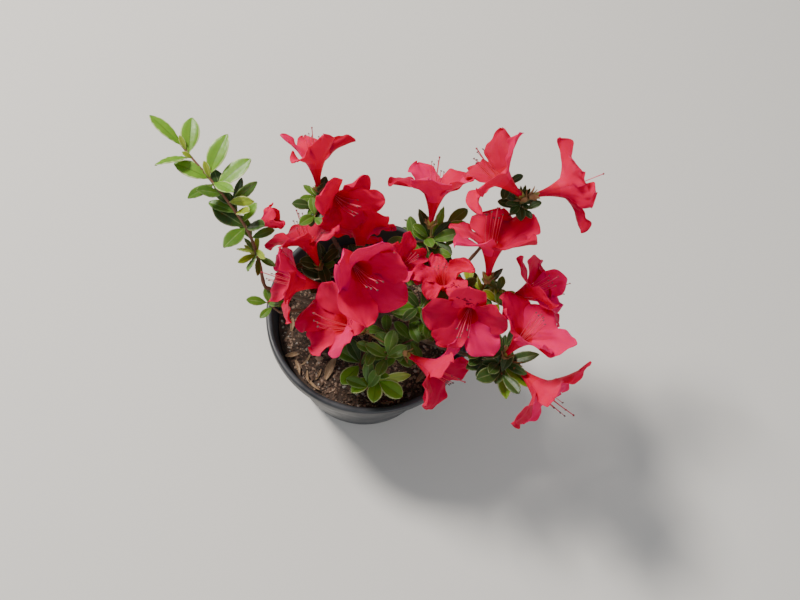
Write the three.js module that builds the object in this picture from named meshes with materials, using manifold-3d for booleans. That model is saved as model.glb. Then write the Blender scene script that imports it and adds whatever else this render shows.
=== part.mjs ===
// A young potted azalea in full bloom: a round nursery pot filled with potting mix, a short trunk,
// thin spreading boughs, and masses of twigs that end in leaf whorls and funnel-shaped blossoms.
// Millimetres, +Z up. The origin is the centre of the pot's flat underside.
import * as THREE from 'three';
import { mergeVertices } from 'three/addons/utils/BufferGeometryUtils.js';
import Module from 'manifold-3d';

const wasm = await Module();
wasm.setup();
const { Manifold, Mesh: SolidMesh } = wasm;

// Pot and potting mix
const RIM_ACROSS = 170;
const BASE_ACROSS = 125;
const POT_HEIGHT = 118;
const POT_WALL = 2;
const RIM_BAND_HEIGHT = 11;
const RIM_BAND_PROUD = 3;
const SOIL_BELOW_RIM = 20;
const SOIL_CROWN = 3;
const CLEARANCE = 0.3;
const POT_SIDES = 32;

// Trunk
const SOIL_TOP = POT_HEIGHT - SOIL_BELOW_RIM;
const TRUNK_FOOT = new THREE.Vector3(8, -4, SOIL_TOP + CLEARANCE);
const TRUNK_FORK = new THREE.Vector3(2, -1, SOIL_TOP + 36);
const TRUNK_FOOT_RADIUS = 6;
const TRUNK_FORK_RADIUS = 4;
const ROOT_FLARE = 3.5;
const ROOT_FLARE_SHARE = 0.35;
const TRUNK_SIDES = 10;
const TRUNK_STEPS = 8;
const BOUGH_SIDES = 6;
const BOUGH_STEPS = 5;

// Twigs and leaves
const TWIG_RADIUS = 1.3;
const STALK_RADIUS = 0.9;
const LEAF_THICKNESS = 0.9;
const LEAF_WIDTH_SHARE = 0.44;
const LEAF_WIDEST_AT = 0.52;
const LEAF_ROOT = 0.15;
const TURN_BETWEEN_LEAVES = 137.5;
const CROSSING_ALLOWED = 0.2;
const SMALLEST_STEP = 0.06;
const SEED = 20260;

// Blossom, measured along and across its own axis
const USUAL_WIDTH = 60;
const TUBE_LENGTH = 24;
const TUBE_FOOT_RADIUS = 1.5;
const THROAT_RADIUS = 8;
const PETALS = 5;
const PETAL_THICKNESS = 1;
const PETAL_LENGTH = 32;
const PETAL_HALF_WIDTHS = [7.6, 11.2, 11.8, 4];
const THROAT_LEAN = 25;
const CLOSED = 12;
const STYLE_LENGTH = 54;
const STAMEN_LENGTH = 44;
const STAMEN_RADIUS = 0.6;

// Boughs: the limb that each leaves and how far up it, the tip, the radius at both ends,
// and how much the bough sags (-) or arches (+) between them
const BOUGHS = {
  left: { from: 'trunk', at: 0.5, tip: [-80, -10, 150], radius: [2.4, 1.6], arch: -4 },
  left_low: { from: 'left', at: 0.5, tip: [-66, -22, 138], radius: [1.5, 1.1], arch: -2 },
  upper_left: { from: 'trunk', at: 0.97, tip: [-40, 27, 192], radius: [2.6, 1.5], arch: -4 },
  left_inner: { from: 'upper_left', at: 0.4, tip: [-33, 4, 158], radius: [1.6, 1.2], arch: -2 },
  centre: { from: 'trunk', at: 0.9, tip: [-4, -2, 160], radius: [2.2, 1.4], arch: 0 },
  top: { from: 'trunk', at: 0.8, tip: [31, 35, 170], radius: [2.4, 1.5], arch: -5 },
  right: { from: 'trunk', at: 0.68, tip: [73, 7, 172], radius: [2.6, 1.5], arch: -5 },
  upper_right: { from: 'right', at: 0.55, tip: [86, 56, 212], radius: [1.7, 1.2], arch: -4 },
  mid_right: { from: 'right', at: 0.3, tip: [47, -10, 156], radius: [1.6, 1.2], arch: -2 },
  lower_right: { from: 'trunk', at: 0.45, tip: [94, -34, 154], radius: [2.3, 1.4], arch: -7 },
  front: { from: 'trunk', at: 0.55, tip: [22, -31, 136], radius: [1.9, 1.3], arch: -3 },
  front_low: { from: 'trunk', at: 0.25, tip: [1, -42, 114], radius: [1.7, 1.2], arch: 2 },
};

// Masses: the bough that carries each, the route of its stem beyond the bough's tip, how many
// leaves along the stem, leaves in its end whorl and side twigs it grows by rule, the leaf lengths
// from shortest to longest, the leaves that stand by themselves, and its blossoms.
// A leaf has its share of the way up the stem, its compass turn and lift in degrees (0 is +X,
// 90 is +Y), its length and its width.
// A blossom has its foot, the turn and lift of its axis, its width, and its petals or the one angle
// to which they all open. A petal has its direction round the axis (0 is up), the angle to which it
// opens, and where they aren't 1 the shares of the usual length and width.
const MASSES = {
  left_shoot: {
    bough: 'left',
    route: [[-90, 0, 182], [-99, 10, 204], [-120, 26, 220], [-139, 39, 229], [-155, 50, 236]],
    along: 0, whorl: 0, leaf: [20, 26], twigs: 0,
    leaves: [
      [1, 152, 20, 32, 10], [0.95, 100, 15, 28, 14], [0.93, 220, 20, 28, 8], [0.8, 76, 25, 34, 14],
      [0.73, 48, 20, 32, 14], [0.78, 172, 15, 28, 13], [0.76, 332, 30, 24, 9],
      [0.75, 240, 25, 26, 9], [0.47, 164, 15, 28, 14], [0.56, 336, 55, 22, 9],
      [0.47, 248, 20, 26, 12], [0.47, 332, 35, 24, 11], [0.58, 92, 10, 26, 7],
      [0.61, 64, 15, 26, 6], [0.63, 356, 35, 24, 5], [0.54, 132, 5, 24, 8], [0.29, 228, 20, 17, 4],
      [0.27, 284, 10, 17, 4], [0.29, 256, 25, 26, 5], [0.25, 148, 15, 15, 4],
      [0.32, 304, 25, 17, 4], [0.4, 20, 30, 20, 8], [0.38, 128, 10, 22, 9], [0.5, 60, 35, 18, 8],
    ],
    blossoms: [
      { foot: [-95, 9, 209], turn: 35, lift: 20, across: 26, open: 22 },
    ],
  },
  left_low: {
    bough: 'left_low',
    route: [[-80, -20, 146]],
    along: 0, whorl: 0, leaf: [15, 19], twigs: 0,
    leaves: [
      [1, 192, 20, 17, 8], [0.98, 336, 50, 17, 6], [0.9, 4, 25, 17, 5], [0.8, 120, 20, 15, 7],
      [0.7, 240, 10, 14, 6],
    ],
    blossoms: [],
  },
  upper_left: {
    bough: 'upper_left',
    route: [[-47, 34, 210], [-52, 41, 218]],
    along: 3, whorl: 3, leaf: [15, 20], twigs: 2,
    leaves: [
      [1, 156, 20, 15, 5], [1, 204, 15, 15, 7], [0.86, 240, 20, 15, 5], [1, 132, 20, 10, 3],
    ],
    blossoms: [
      { foot: [-53, 44, 224], turn: 111, lift: 42, across: 58,
        petals: [[12, 66, 1, 1.05], [102, 114, 0.95, 0.85], [180, 98, 1, 0.95], [216, 90, 1.05, 0.55],
          [330, 122, 1, 0.8]] },
      { foot: [-49, 50, 217], turn: -40, lift: 30, across: 54,
        petals: [[42, 106, 1, 1.1], [84, 74, 0.95, 0.9], [186, 118, 0.95, 1], [240, 90, 1, 1.1],
          [330, 90, 0.95, 1]] },
    ],
  },
  left_inner: {
    bough: 'left_inner',
    route: [[-37, 2, 169]],
    along: 2, whorl: 6, leaf: [18, 22], twigs: 2,
    leaves: [],
    blossoms: [
      { foot: [-44, 5, 177], turn: 135, lift: 46, across: 56,
        petals: [[30, 130, 1, 0.9], [120, 122, 0.95, 1], [168, 122, 0.95, 1], [258, 106, 1, 0.8],
          [318, 114, 1, 0.8]] },
      { foot: [-35, -10, 176], turn: 191, lift: 20, across: 58,
        petals: [[48, 34, 1, 0.95], [138, 130, 0.95, 0.9], [174, 98, 0.95, 0.85], [270, 125, 1, 0.9],
          [318, 90, 1, 0.85]] },
    ],
  },
  centre: {
    bough: 'centre',
    route: [[-6, 2, 182]],
    along: 3, whorl: 6, leaf: [18, 22], twigs: 2,
    leaves: [],
    blossoms: [
      { foot: [-22, 4, 204], turn: 310, lift: 38, across: 62,
        petals: [[36, 72, 0.95, 1.1], [150, 50, 1.1, 1.1], [212, 78, 1.05, 1], [276, 34, 0.95, 1],
          [330, 58, 1, 1.15]] },
      { foot: [-15, 13, 187], turn: 96, lift: 5, across: 52,
        petals: [[12, 108, 0.95, 1.1], [126, 82, 0.95, 1], [156, 120], [228, 85], [336, 114, 1, 1.1]] },
      { foot: [10, 10, 186], turn: 15, lift: 55, across: 38,
        petals: [[66, 106, 1, 0.9], [120, 82, 0.95, 0.8], [204, 114, 0.95, 0.9], [276, 70, 1, 0.9],
          [348, 70, 1, 0.8]] },
    ],
  },
  front: {
    bough: 'front',
    route: [[25, -36, 145]],
    along: 2, whorl: 7, leaf: [18, 23], twigs: 2,
    leaves: [],
    blossoms: [
      { foot: [-1, -31, 158], turn: 198, lift: 42, across: 62,
        petals: [[48, 50, 0.95, 1.15], [162, 98, 1, 0.95], [198, 130, 0.95, 0.95], [306, 74, 0.95, 1],
          [336, 114, 1, 0.9]] },
      { foot: [36, -43, 156], turn: -26, lift: 20, across: 60,
        petals: [[0, 106, 1, 0.8], [72, 90, 1, 0.9], [156, 106, 1, 1.1], [228, 85, 1, 0.9],
          [324, 74, 0.95, 0.95]] },
    ],
  },
  top: {
    bough: 'top',
    route: [[36, 42, 186]],
    along: 2, whorl: 2, leaf: [19, 24], twigs: 3,
    leaves: [
      [1, 156, 15, 26, 7], [0.9, 168, 15, 24, 6], [0.73, 204, 15, 21, 7], [1, 124, 20, 26, 8],
      [1, 80, 25, 28, 6], [1, 64, 20, 21, 8], [0.98, 8, 25, 19, 5], [1, 328, 15, 21, 10],
      [0.63, 284, 15, 21, 11], [0.69, 332, 5, 24, 8], [0.63, 168, 10, 28, 8], [1, 32, 20, 28, 9],
    ],
    blossoms: [
      { foot: [33, 49, 198], turn: 97, lift: 48, across: 60,
        petals: [[6, 122, 1, 0.9], [54, 74, 0.95, 0.9], [132, 90, 1, 0.95], [192, 130, 0.95, 1.1],
          [276, 114, 1, 0.85]] },
    ],
  },
  upper_right: {
    bough: 'upper_right',
    route: [[95, 65, 228]],
    along: 2, whorl: 4, leaf: [12, 16], twigs: 1,
    leaves: [
      [1, 104, 30, 13, 3], [1, 88, 35, 14, 3], [1, 68, 30, 13, 3], [1, 208, 25, 14, 5],
      [1, 240, 15, 14, 6], [1, 336, 15, 9, 3], [1, 300, 20, 9, 3], [1, 20, 20, 12, 3],
    ],
    blossoms: [
      { foot: [94, 66, 235], turn: 168, lift: 35, across: 62,
        petals: [[30, 82, 1, 0.5], [96, 98, 1.03, 1.15], [168, 99, 0.95, 0.9], [270, 130, 1, 0.7],
          [294, 66, 1, 0.8]] },
      { foot: [102, 69, 235], turn: 28, lift: 2, across: 62,
        petals: [[18, 130, 0.95, 1], [42, 106, 0.95, 1.1], [138, 106, 1, 0.85], [186, 122, 1, 0.9],
          [282, 114, 1, 0.6]] },
    ],
  },
  right: {
    bough: 'right',
    route: [[81, 8, 185]],
    along: 2, whorl: 2, leaf: [14, 20], twigs: 2,
    leaves: [
      [0.86, 164, 20, 16, 5], [1, 116, 20, 12, 3], [0.92, 40, 15, 16, 6], [1, 340, 10, 19, 7],
      [1, 8, 10, 20, 4], [1, 56, 25, 24, 6], [0.81, 312, 15, 16, 7], [1, 232, 25, 16, 5],
      [1, 272, 20, 16, 5], [1, 40, 20, 20, 4],
    ],
    blossoms: [
      { foot: [82, 11, 204], turn: 100, lift: 50, across: 64,
        petals: [[54, 90, 1, 1.25], [132, 74, 0.95, 1.1], [168, 82, 1, 1.1], [252, 114, 0.9, 0.9],
          [312, 106, 0.95, 0.9]] },
      { foot: [101, 6, 186], turn: 20, lift: 40, across: 50,
        petals: [[6, 98, 0.95, 0.9], [66, 50, 1, 0.95], [138, 58, 0.9, 0.9], [210, 66, 1, 0.9],
          [288, 110, 0.9, 0.9]] },
      { foot: [108, 16, 165], turn: 20, lift: 17, across: 50,
        petals: [[42, 106, 1, 0.95], [114, 98, 1, 0.95], [186, 82, 1, 0.9], [258, 114, 1, 0.95],
          [330, 120, 1, 0.95]] },
      { foot: [75, -1, 190], turn: 262, lift: 30, across: 58,
        petals: [[12, 98], [84, 82, 1, 1.05], [150, 118, 0.95, 0.9], [234, 106, 1, 1.05], [306, 90]] },
    ],
  },
  mid_right: {
    bough: 'mid_right',
    route: [[49, -12, 166]],
    along: 3, whorl: 7, leaf: [18, 24], twigs: 2,
    leaves: [],
    blossoms: [
      { foot: [54, 2, 180], turn: 136, lift: 72, across: 44,
        petals: [[-6, 114, 1, 0.9], [54, 90, 0.95, 0.9], [162, 120, 0.85, 1], [246, 83, 0.95, 0.9],
          [300, 106, 1, 0.9]] },
    ],
  },
  lower_right: {
    bough: 'lower_right',
    route: [[108, -37, 165]],
    along: 2, whorl: 4, leaf: [19, 24], twigs: 2,
    leaves: [
      [0.9, 288, -5, 28, 11], [0.95, 328, 5, 28, 11], [1, 260, 20, 21, 9], [1, 200, 25, 19, 5],
      [1, 20, 20, 28, 9], [1, 356, 15, 24, 5], [1, 96, 20, 21, 5],
    ],
    blossoms: [
      { foot: [107, -36, 180], turn: 50, lift: 60, across: 58,
        petals: [[42, 58, 1, 1.05], [114, 66, 1.1, 1.1], [186, 98, 0.95, 1.05], [258, 98, 1, 1.25],
          [330, 66, 0.9, 0.9]] },
      { foot: [117, -39, 168], turn: -38, lift: 10, across: 64,
        petals: [[24, 90, 1, 0.9], [72, 106, 0.95, 0.9], [150, 90, 1, 0.85], [216, 106, 1, 0.9],
          [294, 98, 1.1, 0.7]] },
    ],
  },
  front_low: {
    bough: 'front_low',
    route: [[7, -52, 124], [18, -60, 130]],
    along: 0, whorl: 0, leaf: [17, 21], twigs: 1,
    leaves: [
      [0.05, 164, 15, 25, 12], [0.05, 120, 20, 23, 11], [0.1, 52, 20, 18, 8],
      [0.1, 240, 5, 22, 13], [0.81, 232, 10, 22, 11], [0.97, 272, 15, 20, 12], [1, 336, 5, 23, 14],
      [1, 20, 10, 26, 7], [0.78, 356, 40, 17, 6], [0.95, 128, 20, 17, 9], [0.9, 88, 20, 25, 10],
    ],
    blossoms: [],
  },
};

const COLOURS = {
  pot: { color: 0x22252b, roughness: 0.45 },
  mix: { color: 0x33231a, roughness: 0.95 },
  bark: { color: 0x5a3f2b, roughness: 0.85 },
  blossom: { color: 0xd8284a, roughness: 0.55 },
  leaves: { color: 0x5f8a34, roughness: 0.55 },
};

const UP = new THREE.Vector3(0, 0, 1);

function seededRandom(seed) {
  let state = seed >>> 0;
  return () => {
    state = (state + 0x6d2b79f5) >>> 0;
    let mixed = Math.imul(state ^ (state >>> 15), state | 1);
    mixed ^= mixed + Math.imul(mixed ^ (mixed >>> 7), mixed | 61);
    return ((mixed ^ (mixed >>> 14)) >>> 0) / 2 ** 32;
  };
}

function heading(turnDegrees, liftDegrees) {
  const turn = THREE.MathUtils.degToRad(turnDegrees);
  const lift = THREE.MathUtils.degToRad(liftDegrees);
  const level = Math.cos(lift);
  return new THREE.Vector3(level * Math.cos(turn), level * Math.sin(turn), Math.sin(lift));
}

// Moves the corners of a three.js geometry by a rule and returns the closed solid
function solidFrom(geometry, place = null) {
  geometry.deleteAttribute('normal');
  geometry.deleteAttribute('uv');
  const merged = mergeVertices(geometry, 1e-4);
  const corners = merged.attributes.position;
  const corner = new THREE.Vector3();
  if (place) {
    for (let i = 0; i < corners.count; i++) {
      corner.fromBufferAttribute(corners, i);
      place(corner);
      corners.setXYZ(i, corner.x, corner.y, corner.z);
    }
  }
  return new Manifold(new SolidMesh({
    numProp: 3,
    vertProperties: new Float32Array(corners.array),
    triVerts: new Uint32Array(merged.index.array),
  }));
}

// A rod bent along a curve, with its radius given from 0 at the start to 1 at the end
function rod(curve, radiusAt, sides, steps) {
  const frames = curve.computeFrenetFrames(steps);
  const stations = curve.getPoints(steps);
  return solidFrom(new THREE.CylinderGeometry(1, 1, 1, sides, steps), (corner) => {
    const step = Math.round((corner.y + 0.5) * steps);
    const radius = radiusAt(step / steps);
    const across = corner.x * radius;
    const outward = corner.z * radius;
    corner.copy(stations[step])
      .addScaledVector(frames.binormals[step], across)
      .addScaledVector(frames.normals[step], outward);
  });
}

function tapered([thick, thin]) {
  return (along) => THREE.MathUtils.lerp(thick, thin, along);
}

function archedCurve(start, end, arch) {
  const middle = start.clone().lerp(end, 0.5).addScaledVector(UP, arch);
  return new THREE.CatmullRomCurve3([start, middle, end]);
}

function twig(start, end, radii, arch = 0) {
  return rod(archedCurve(start, end, arch), tapered(radii), 3, 2);
}

// Six-cornered leaf blade with eight faces, drooping slightly towards its tip
function leaf(root, turn, lift, length, width = length * LEAF_WIDTH_SHARE) {
  const along = heading(turn, lift);
  const side = new THREE.Vector3().crossVectors(UP, along).normalize();
  const face = new THREE.Vector3().crossVectors(along, side);
  return solidFrom(new THREE.OctahedronGeometry(1, 0), (corner) => {
    const reach = corner.x > 0.5 ? length : corner.x < -0.5 ? LEAF_ROOT : length * LEAF_WIDEST_AT;
    const rise = corner.z * LEAF_THICKNESS / 2 - (corner.x > 0.5 ? length * 0.14 : 0)
      + (Math.abs(corner.y) > 0.5 ? length * 0.03 : 0);
    const across = (corner.y * width) / 2;
    corner.copy(root)
      .addScaledVector(along, reach)
      .addScaledVector(side, across)
      .addScaledVector(face, rise);
  });
}

// Maps a blossom's own frame (+Z along its axis, +X towards its uppermost petal) to its place
function blossomFrame(foot, turn, lift) {
  const axis = heading(turn, lift);
  const sideways = new THREE.Vector3().crossVectors(axis, UP).normalize();
  const upward = new THREE.Vector3().crossVectors(sideways, axis);
  return new THREE.Matrix4().makeBasis(upward, sideways, axis).setPosition(foot);
}

// The five petals of a blossom in angles of its own frame. A petal leaves the throat at its slot,
// one of five evenly spaced, and bends from there towards its own direction.
function petalsOf(petals, open) {
  const lobe = (2 * Math.PI) / PETALS;
  const plans = petals ?? Array.from({ length: PETALS }, (_, index) => [(index * 360) / PETALS, open]);
  const directions = plans.map(([around]) => THREE.MathUtils.degToRad(around));
  const phase = directions.reduce((sum, around, index) => sum + around - index * lobe, 0) / PETALS;
  return plans.map(([, opening, long = 1, wide = 1], index) => (
    { around: directions[index], slot: phase + index * lobe, open: opening, long, wide }));
}

// The rows of a petal from the throat to its tip: how far out and up its middle lies, where it
// stands round the axis, and its half width
function petalRows(scale, { around, slot, open, long, wide }) {
  const length = PETAL_LENGTH * scale * long;
  const intervals = PETAL_HALF_WIDTHS.length;
  const turnPerRow = (open - THROAT_LEAN) / intervals;
  const rows = [];
  let radius = THROAT_RADIUS * scale;
  let height = TUBE_LENGTH * scale;
  PETAL_HALF_WIDTHS.forEach((halfWidth, row) => {
    const lean = THREE.MathUtils.degToRad(THROAT_LEAN + turnPerRow * (row + 0.5));
    radius += (Math.sin(lean) * length) / intervals;
    height += (Math.cos(lean) * length) / intervals;
    const angle = THREE.MathUtils.lerp(slot, around, ((row + 1) / intervals) ** 2);
    rows.push({ radius, height, lean, angle, halfWidth: halfWidth * scale * wide });
  });
  return rows;
}

// The funnel and its five petals as one closed skin: the petals' edges are sharp, and the skin
// is thickest along their middles.
function corolla(frame, scale, petals) {
  const corners = [];
  const faces = [];
  const lobe = (2 * Math.PI) / PETALS;
  const put = (radius, angle, height) => {
    const corner = new THREE.Vector3(radius * Math.cos(angle), radius * Math.sin(angle), height);
    return corners.push(corner.applyMatrix4(frame)) - 1;
  };
  const ring = (radius, height) => Array.from({ length: 2 * PETALS },
    (_, i) => put(radius * scale, petals[0].slot + (i * lobe) / 2, height * scale));
  const quad = (a, b, c, d) => faces.push(a, b, c, a, c, d);
  const band = (low, high, outward) => low.forEach((corner, i) => {
    const next = (i + 1) % low.length;
    if (outward) quad(corner, low[next], high[next], high[i]);
    else quad(corner, high[i], high[next], low[next]);
  });
  const outer = [ring(TUBE_FOOT_RADIUS, 0), ring(3.2, 0.5 * TUBE_LENGTH), ring(THROAT_RADIUS, TUBE_LENGTH)];
  const deep = ring(2, 0.62 * TUBE_LENGTH);
  const foot = put(0, 0, 0);
  const well = put(0, 0, 0.5 * TUBE_LENGTH * scale);
  const mouth = outer[2].map((corner, i) => (i % 2 ? corner
    : put((THROAT_RADIUS - 1.2) * scale, petals[i / 2].slot, TUBE_LENGTH * scale)));
  outer[0].forEach((corner, i) => faces.push(foot, outer[0][(i + 1) % outer[0].length], corner));
  band(outer[0], outer[1], true);
  band(outer[1], outer[2], true);
  band(deep, mouth, false);
  deep.forEach((corner, i) => faces.push(well, corner, deep[(i + 1) % deep.length]));
  petals.forEach((petal, index) => {
    const before = (2 * index + 2 * PETALS - 1) % (2 * PETALS);
    const middle = 2 * index;
    const after = 2 * index + 1;
    let under = [outer[2][before], outer[2][middle], outer[2][after]];
    let over = [mouth[before], mouth[middle], mouth[after]];
    petalRows(scale, petal).forEach(({ radius, height, lean, angle, halfWidth }, row, rows) => {
      const spread = halfWidth / radius;
      const left = put(radius, angle - spread, height);
      const right = put(radius, angle + spread, height);
      const half = row === rows.length - 1 ? 0 : PETAL_THICKNESS / 2;
      const below = put(radius + half * Math.cos(lean), angle, height - half * Math.sin(lean));
      const above = half === 0 ? below
        : put(radius - half * Math.cos(lean), angle, height + half * Math.sin(lean));
      const nextUnder = [left, below, right];
      const nextOver = [left, above, right];
      for (let column = 0; column < 2; column++) {
        quad(under[column], under[column + 1], nextUnder[column + 1], nextUnder[column]);
        quad(over[column], nextOver[column], nextOver[column + 1], over[column + 1]);
      }
      under = nextUnder;
      over = nextOver;
    });
  });
  const geometry = new THREE.BufferGeometry().setFromPoints(corners);
  geometry.setIndex(faces);
  return solidFrom(geometry);
}

// One petal alone, as a flat rod, to try whether it is clear of what stands near it
function trialPetal(frame, scale, petal) {
  const rows = petalRows(scale, petal);
  return solidFrom(new THREE.CylinderGeometry(1, 1, 1, 4, rows.length - 1), (corner) => {
    const row = rows[Math.round((corner.y + 0.5) * (rows.length - 1))];
    const angle = row.angle + (corner.x * row.halfWidth) / row.radius;
    corner.set(row.radius * Math.cos(angle), row.radius * Math.sin(angle),
      row.height + (corner.z * PETAL_THICKNESS) / 2);
    corner.applyMatrix4(frame);
  });
}

function stamens(frame, scale) {
  const threads = [[STYLE_LENGTH, 0, 6], [STAMEN_LENGTH, 4, -6], [STAMEN_LENGTH, -4, -6]];
  return threads.map(([length, sideways, rise]) => {
    const start = new THREE.Vector3(0, 0, 0.3 * TUBE_LENGTH * scale).applyMatrix4(frame);
    const tip = new THREE.Vector3(rise * scale, sideways * scale, length * scale).applyMatrix4(frame);
    return twig(start, tip, [STAMEN_RADIUS * 1.3, STAMEN_RADIUS], -2);
  });
}

function nearlyTouches(solid, others) {
  const box = solid.boundingBox();
  return others.some((other) => {
    const far = [0, 1, 2].some((axis) => box.min[axis] - CLEARANCE > other.box.max[axis]
      || box.max[axis] + CLEARANCE < other.box.min[axis]);
    return !far && other.solid.minGap(solid, 2 * CLEARANCE) < CLEARANCE;
  });
}

// A petal that would touch a neighbour opens less or more until it is clear
function fittedPetal(frame, scale, petal, neighbours) {
  const tries = [0, -15, 15, -30, -45, -60]
    .map((change) => ({ ...petal, open: Math.max(CLOSED, petal.open + change) }));
  const clear = tries.find((trial) => !nearlyTouches(trialPetal(frame, scale, trial), neighbours));
  return clear ?? { ...petal, open: CLOSED };
}

function blossom({ foot, turn, lift, across, petals = null, open = 90 }, neighbours) {
  const scale = across / USUAL_WIDTH;
  const frame = blossomFrame(new THREE.Vector3(...foot), turn, lift);
  const fitted = petalsOf(petals, open).map((petal) => fittedPetal(frame, scale, petal, neighbours));
  const flower = corolla(frame, scale, fitted);
  if (nearlyTouches(flower, neighbours)) return [];
  const threads = open > 60 ? stamens(frame, scale) : [];
  return [flower, ...threads.filter((thread) => !nearlyTouches(thread, neighbours))];
}

// A place on a rod's middle line, so many millimetres from its start
function spotAlong(stations, distance) {
  let left = distance;
  for (let i = 1; i < stations.length; i++) {
    const step = stations[i].distanceTo(stations[i - 1]);
    if (left <= step || i === stations.length - 1) {
      return stations[i - 1].clone().lerp(stations[i], Math.min(left / step, 1));
    }
    left -= step;
  }
  return stations[0];
}

function lengthOf(stations) {
  return stations.slice(1).reduce((sum, spot, i) => sum + spot.distanceTo(stations[i]), 0);
}

function leavesAlong(stations, count, sizes, random, spin) {
  return Array.from({ length: count }, (_, i) => {
    const turn = spin + i * TURN_BETWEEN_LEAVES + 20 * random();
    const length = THREE.MathUtils.lerp(sizes[0], sizes[1], random());
    const root = spotAlong(stations, (lengthOf(stations) * (i + 0.7)) / (count + 0.4));
    return leaf(root, turn, 8 + 34 * random(), length);
  });
}

function whorl(stations, count, sizes, random, spin) {
  return Array.from({ length: count }, (_, i) => {
    const length = THREE.MathUtils.lerp(sizes[0], sizes[1], random());
    const root = spotAlong(stations, lengthOf(stations) - LEAF_THICKNESS * (1 + 1.2 * i));
    return leaf(root, spin + i * TURN_BETWEEN_LEAVES, 6 + 32 * random(), length);
  });
}

function crosses(solid, others) {
  return others.some((other) => other.intersect(solid).volume() > CROSSING_ALLOWED);
}

// The stem of a mass, which goes on beyond its bough's tip, and its blossoms on short stalks
function stemAndBlossoms(plan, limbEnd, neighbours) {
  const first = limbEnd.tip.clone().addScaledVector(limbEnd.direction, CLEARANCE);
  const second = first.clone().addScaledVector(limbEnd.direction, 3);
  const route = plan.route.map((place) => new THREE.Vector3(...place));
  const curve = new THREE.CatmullRomCurve3([first, second, ...route]);
  const steps = 3 * route.length;
  const stem = curve.getPoints(steps);
  const wood = [rod(curve, tapered([limbEnd.radius, TWIG_RADIUS]), 4, steps)];
  const blossoms = [];
  for (const bloom of plan.blossoms) {
    const foot = new THREE.Vector3(...bloom.foot);
    const inside = foot.clone().add(heading(bloom.turn, bloom.lift).multiplyScalar(1.5));
    wood.push(twig(nearestSpot(stem, foot), inside, [TWIG_RADIUS, STALK_RADIUS], -1));
    const nearby = [...neighbours, ...blossoms.map(boxed)];
    blossoms.push(...blossom(bloom, nearby));
  }
  return { plan, stem, wood, blossoms };
}

// One whole mass: side twigs grown by rule, and leaves. A twig or leaf that would touch a
// neighbour, or cross a blossom or another leaf, is skipped.
function massSolid({ plan, stem, wood, blossoms }, neighbours, random) {
  const spin = 360 * random();
  const twigs = [];
  const leaves = [
    ...plan.leaves.map(([share, turn, lift, length, width]) => (
      leaf(spotAlong(stem, lengthOf(stem) * share - LEAF_THICKNESS), turn, lift, length, width))),
    ...leavesAlong(stem, plan.along, plan.leaf, random, spin),
    ...whorl(stem, plan.whorl, plan.leaf, random, spin),
  ];
  for (let i = 0; i < plan.twigs; i++) {
    const start = spotAlong(stem, lengthOf(stem) * (0.15 + (0.7 * (i + random())) / plan.twigs));
    const turn = spin + 90 + i * TURN_BETWEEN_LEAVES + 30 * random();
    const reach = 14 + 10 * random();
    const end = start.clone().add(heading(turn, 15 + 25 * random()).multiplyScalar(reach));
    const side = twig(start, end, [TWIG_RADIUS, 0.8 * TWIG_RADIUS], 1);
    const tipLeaves = whorl(archedCurve(start, end, 1).getPoints(2), 5, plan.leaf, random, turn);
    if (nearlyTouches(side, neighbours) || crosses(side, blossoms)) continue;
    twigs.push(side);
    leaves.push(...tipLeaves);
  }
  const kept = [];
  for (const blade of leaves) {
    if (!nearlyTouches(blade, neighbours) && !crosses(blade, [...blossoms, ...kept])) kept.push(blade);
  }
  return largestPiece(Manifold.union([...wood, ...blossoms, ...twigs, ...kept]).simplify(SMALLEST_STEP));
}

function boxed(solid) {
  return { solid, box: solid.boundingBox() };
}

function nearestSpot(stations, place) {
  const samples = 20;
  const spots = Array.from({ length: samples },
    (_, i) => spotAlong(stations, (lengthOf(stations) * (i + 0.4)) / samples));
  return spots.reduce((best, spot) => (spot.distanceTo(place) < best.distanceTo(place) ? spot : best));
}

function potSolid() {
  const rim = RIM_ACROSS / 2;
  const base = BASE_ACROSS / 2;
  const bandFoot = POT_HEIGHT - RIM_BAND_HEIGHT;
  const wallTop = rim - RIM_BAND_PROUD;
  const lip = 1.2;
  const floor = 2.5;
  const outline = [
    [0, 0], [base - 1.5, 0], [base, 1.5], [wallTop - 0.5, bandFoot - 1],
    [rim - 0.8, bandFoot], [rim, bandFoot + lip], [rim, POT_HEIGHT - lip],
    [rim - lip, POT_HEIGHT], [wallTop - POT_WALL + lip, POT_HEIGHT],
    [wallTop - POT_WALL, POT_HEIGHT - lip], [base - POT_WALL, floor], [0, floor],
  ].map(([radius, height]) => new THREE.Vector2(radius, height));
  const lathe = new THREE.LatheGeometry(outline, POT_SIDES);
  return solidFrom(lathe, (corner) => corner.set(corner.x, -corner.z, corner.y));
}

function mixSolid() {
  const floor = 2.5 + CLEARANCE;
  const wallTop = RIM_ACROSS / 2 - RIM_BAND_PROUD - POT_WALL;
  const wallFoot = BASE_ACROSS / 2 - POT_WALL;
  const slope = (wallTop - wallFoot) / (POT_HEIGHT - 1.2 - 2.5);
  const radiusAt = (height) => wallFoot + slope * (height - 2.5) - 1.6 * CLEARANCE;
  const outline = [
    [0, floor], [radiusAt(floor), floor], [radiusAt(SOIL_TOP - SOIL_CROWN), SOIL_TOP - SOIL_CROWN],
    [radiusAt(SOIL_TOP) * 0.72, SOIL_TOP], [0, SOIL_TOP],
  ].map(([radius, height]) => new THREE.Vector2(radius, height));
  const lathe = new THREE.LatheGeometry(outline, POT_SIDES);
  return solidFrom(lathe, (corner) => corner.set(corner.x, -corner.z, corner.y));
}

function limbRecord(curve, radiusAt, sides, steps) {
  return {
    curve,
    radiusAt,
    solid: rod(curve, radiusAt, sides, steps),
    grown: rod(curve, (along) => radiusAt(along) + CLEARANCE, sides, steps),
    tip: curve.getPoint(1),
    direction: curve.getTangent(1),
    radius: radiusAt(1),
  };
}

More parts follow.
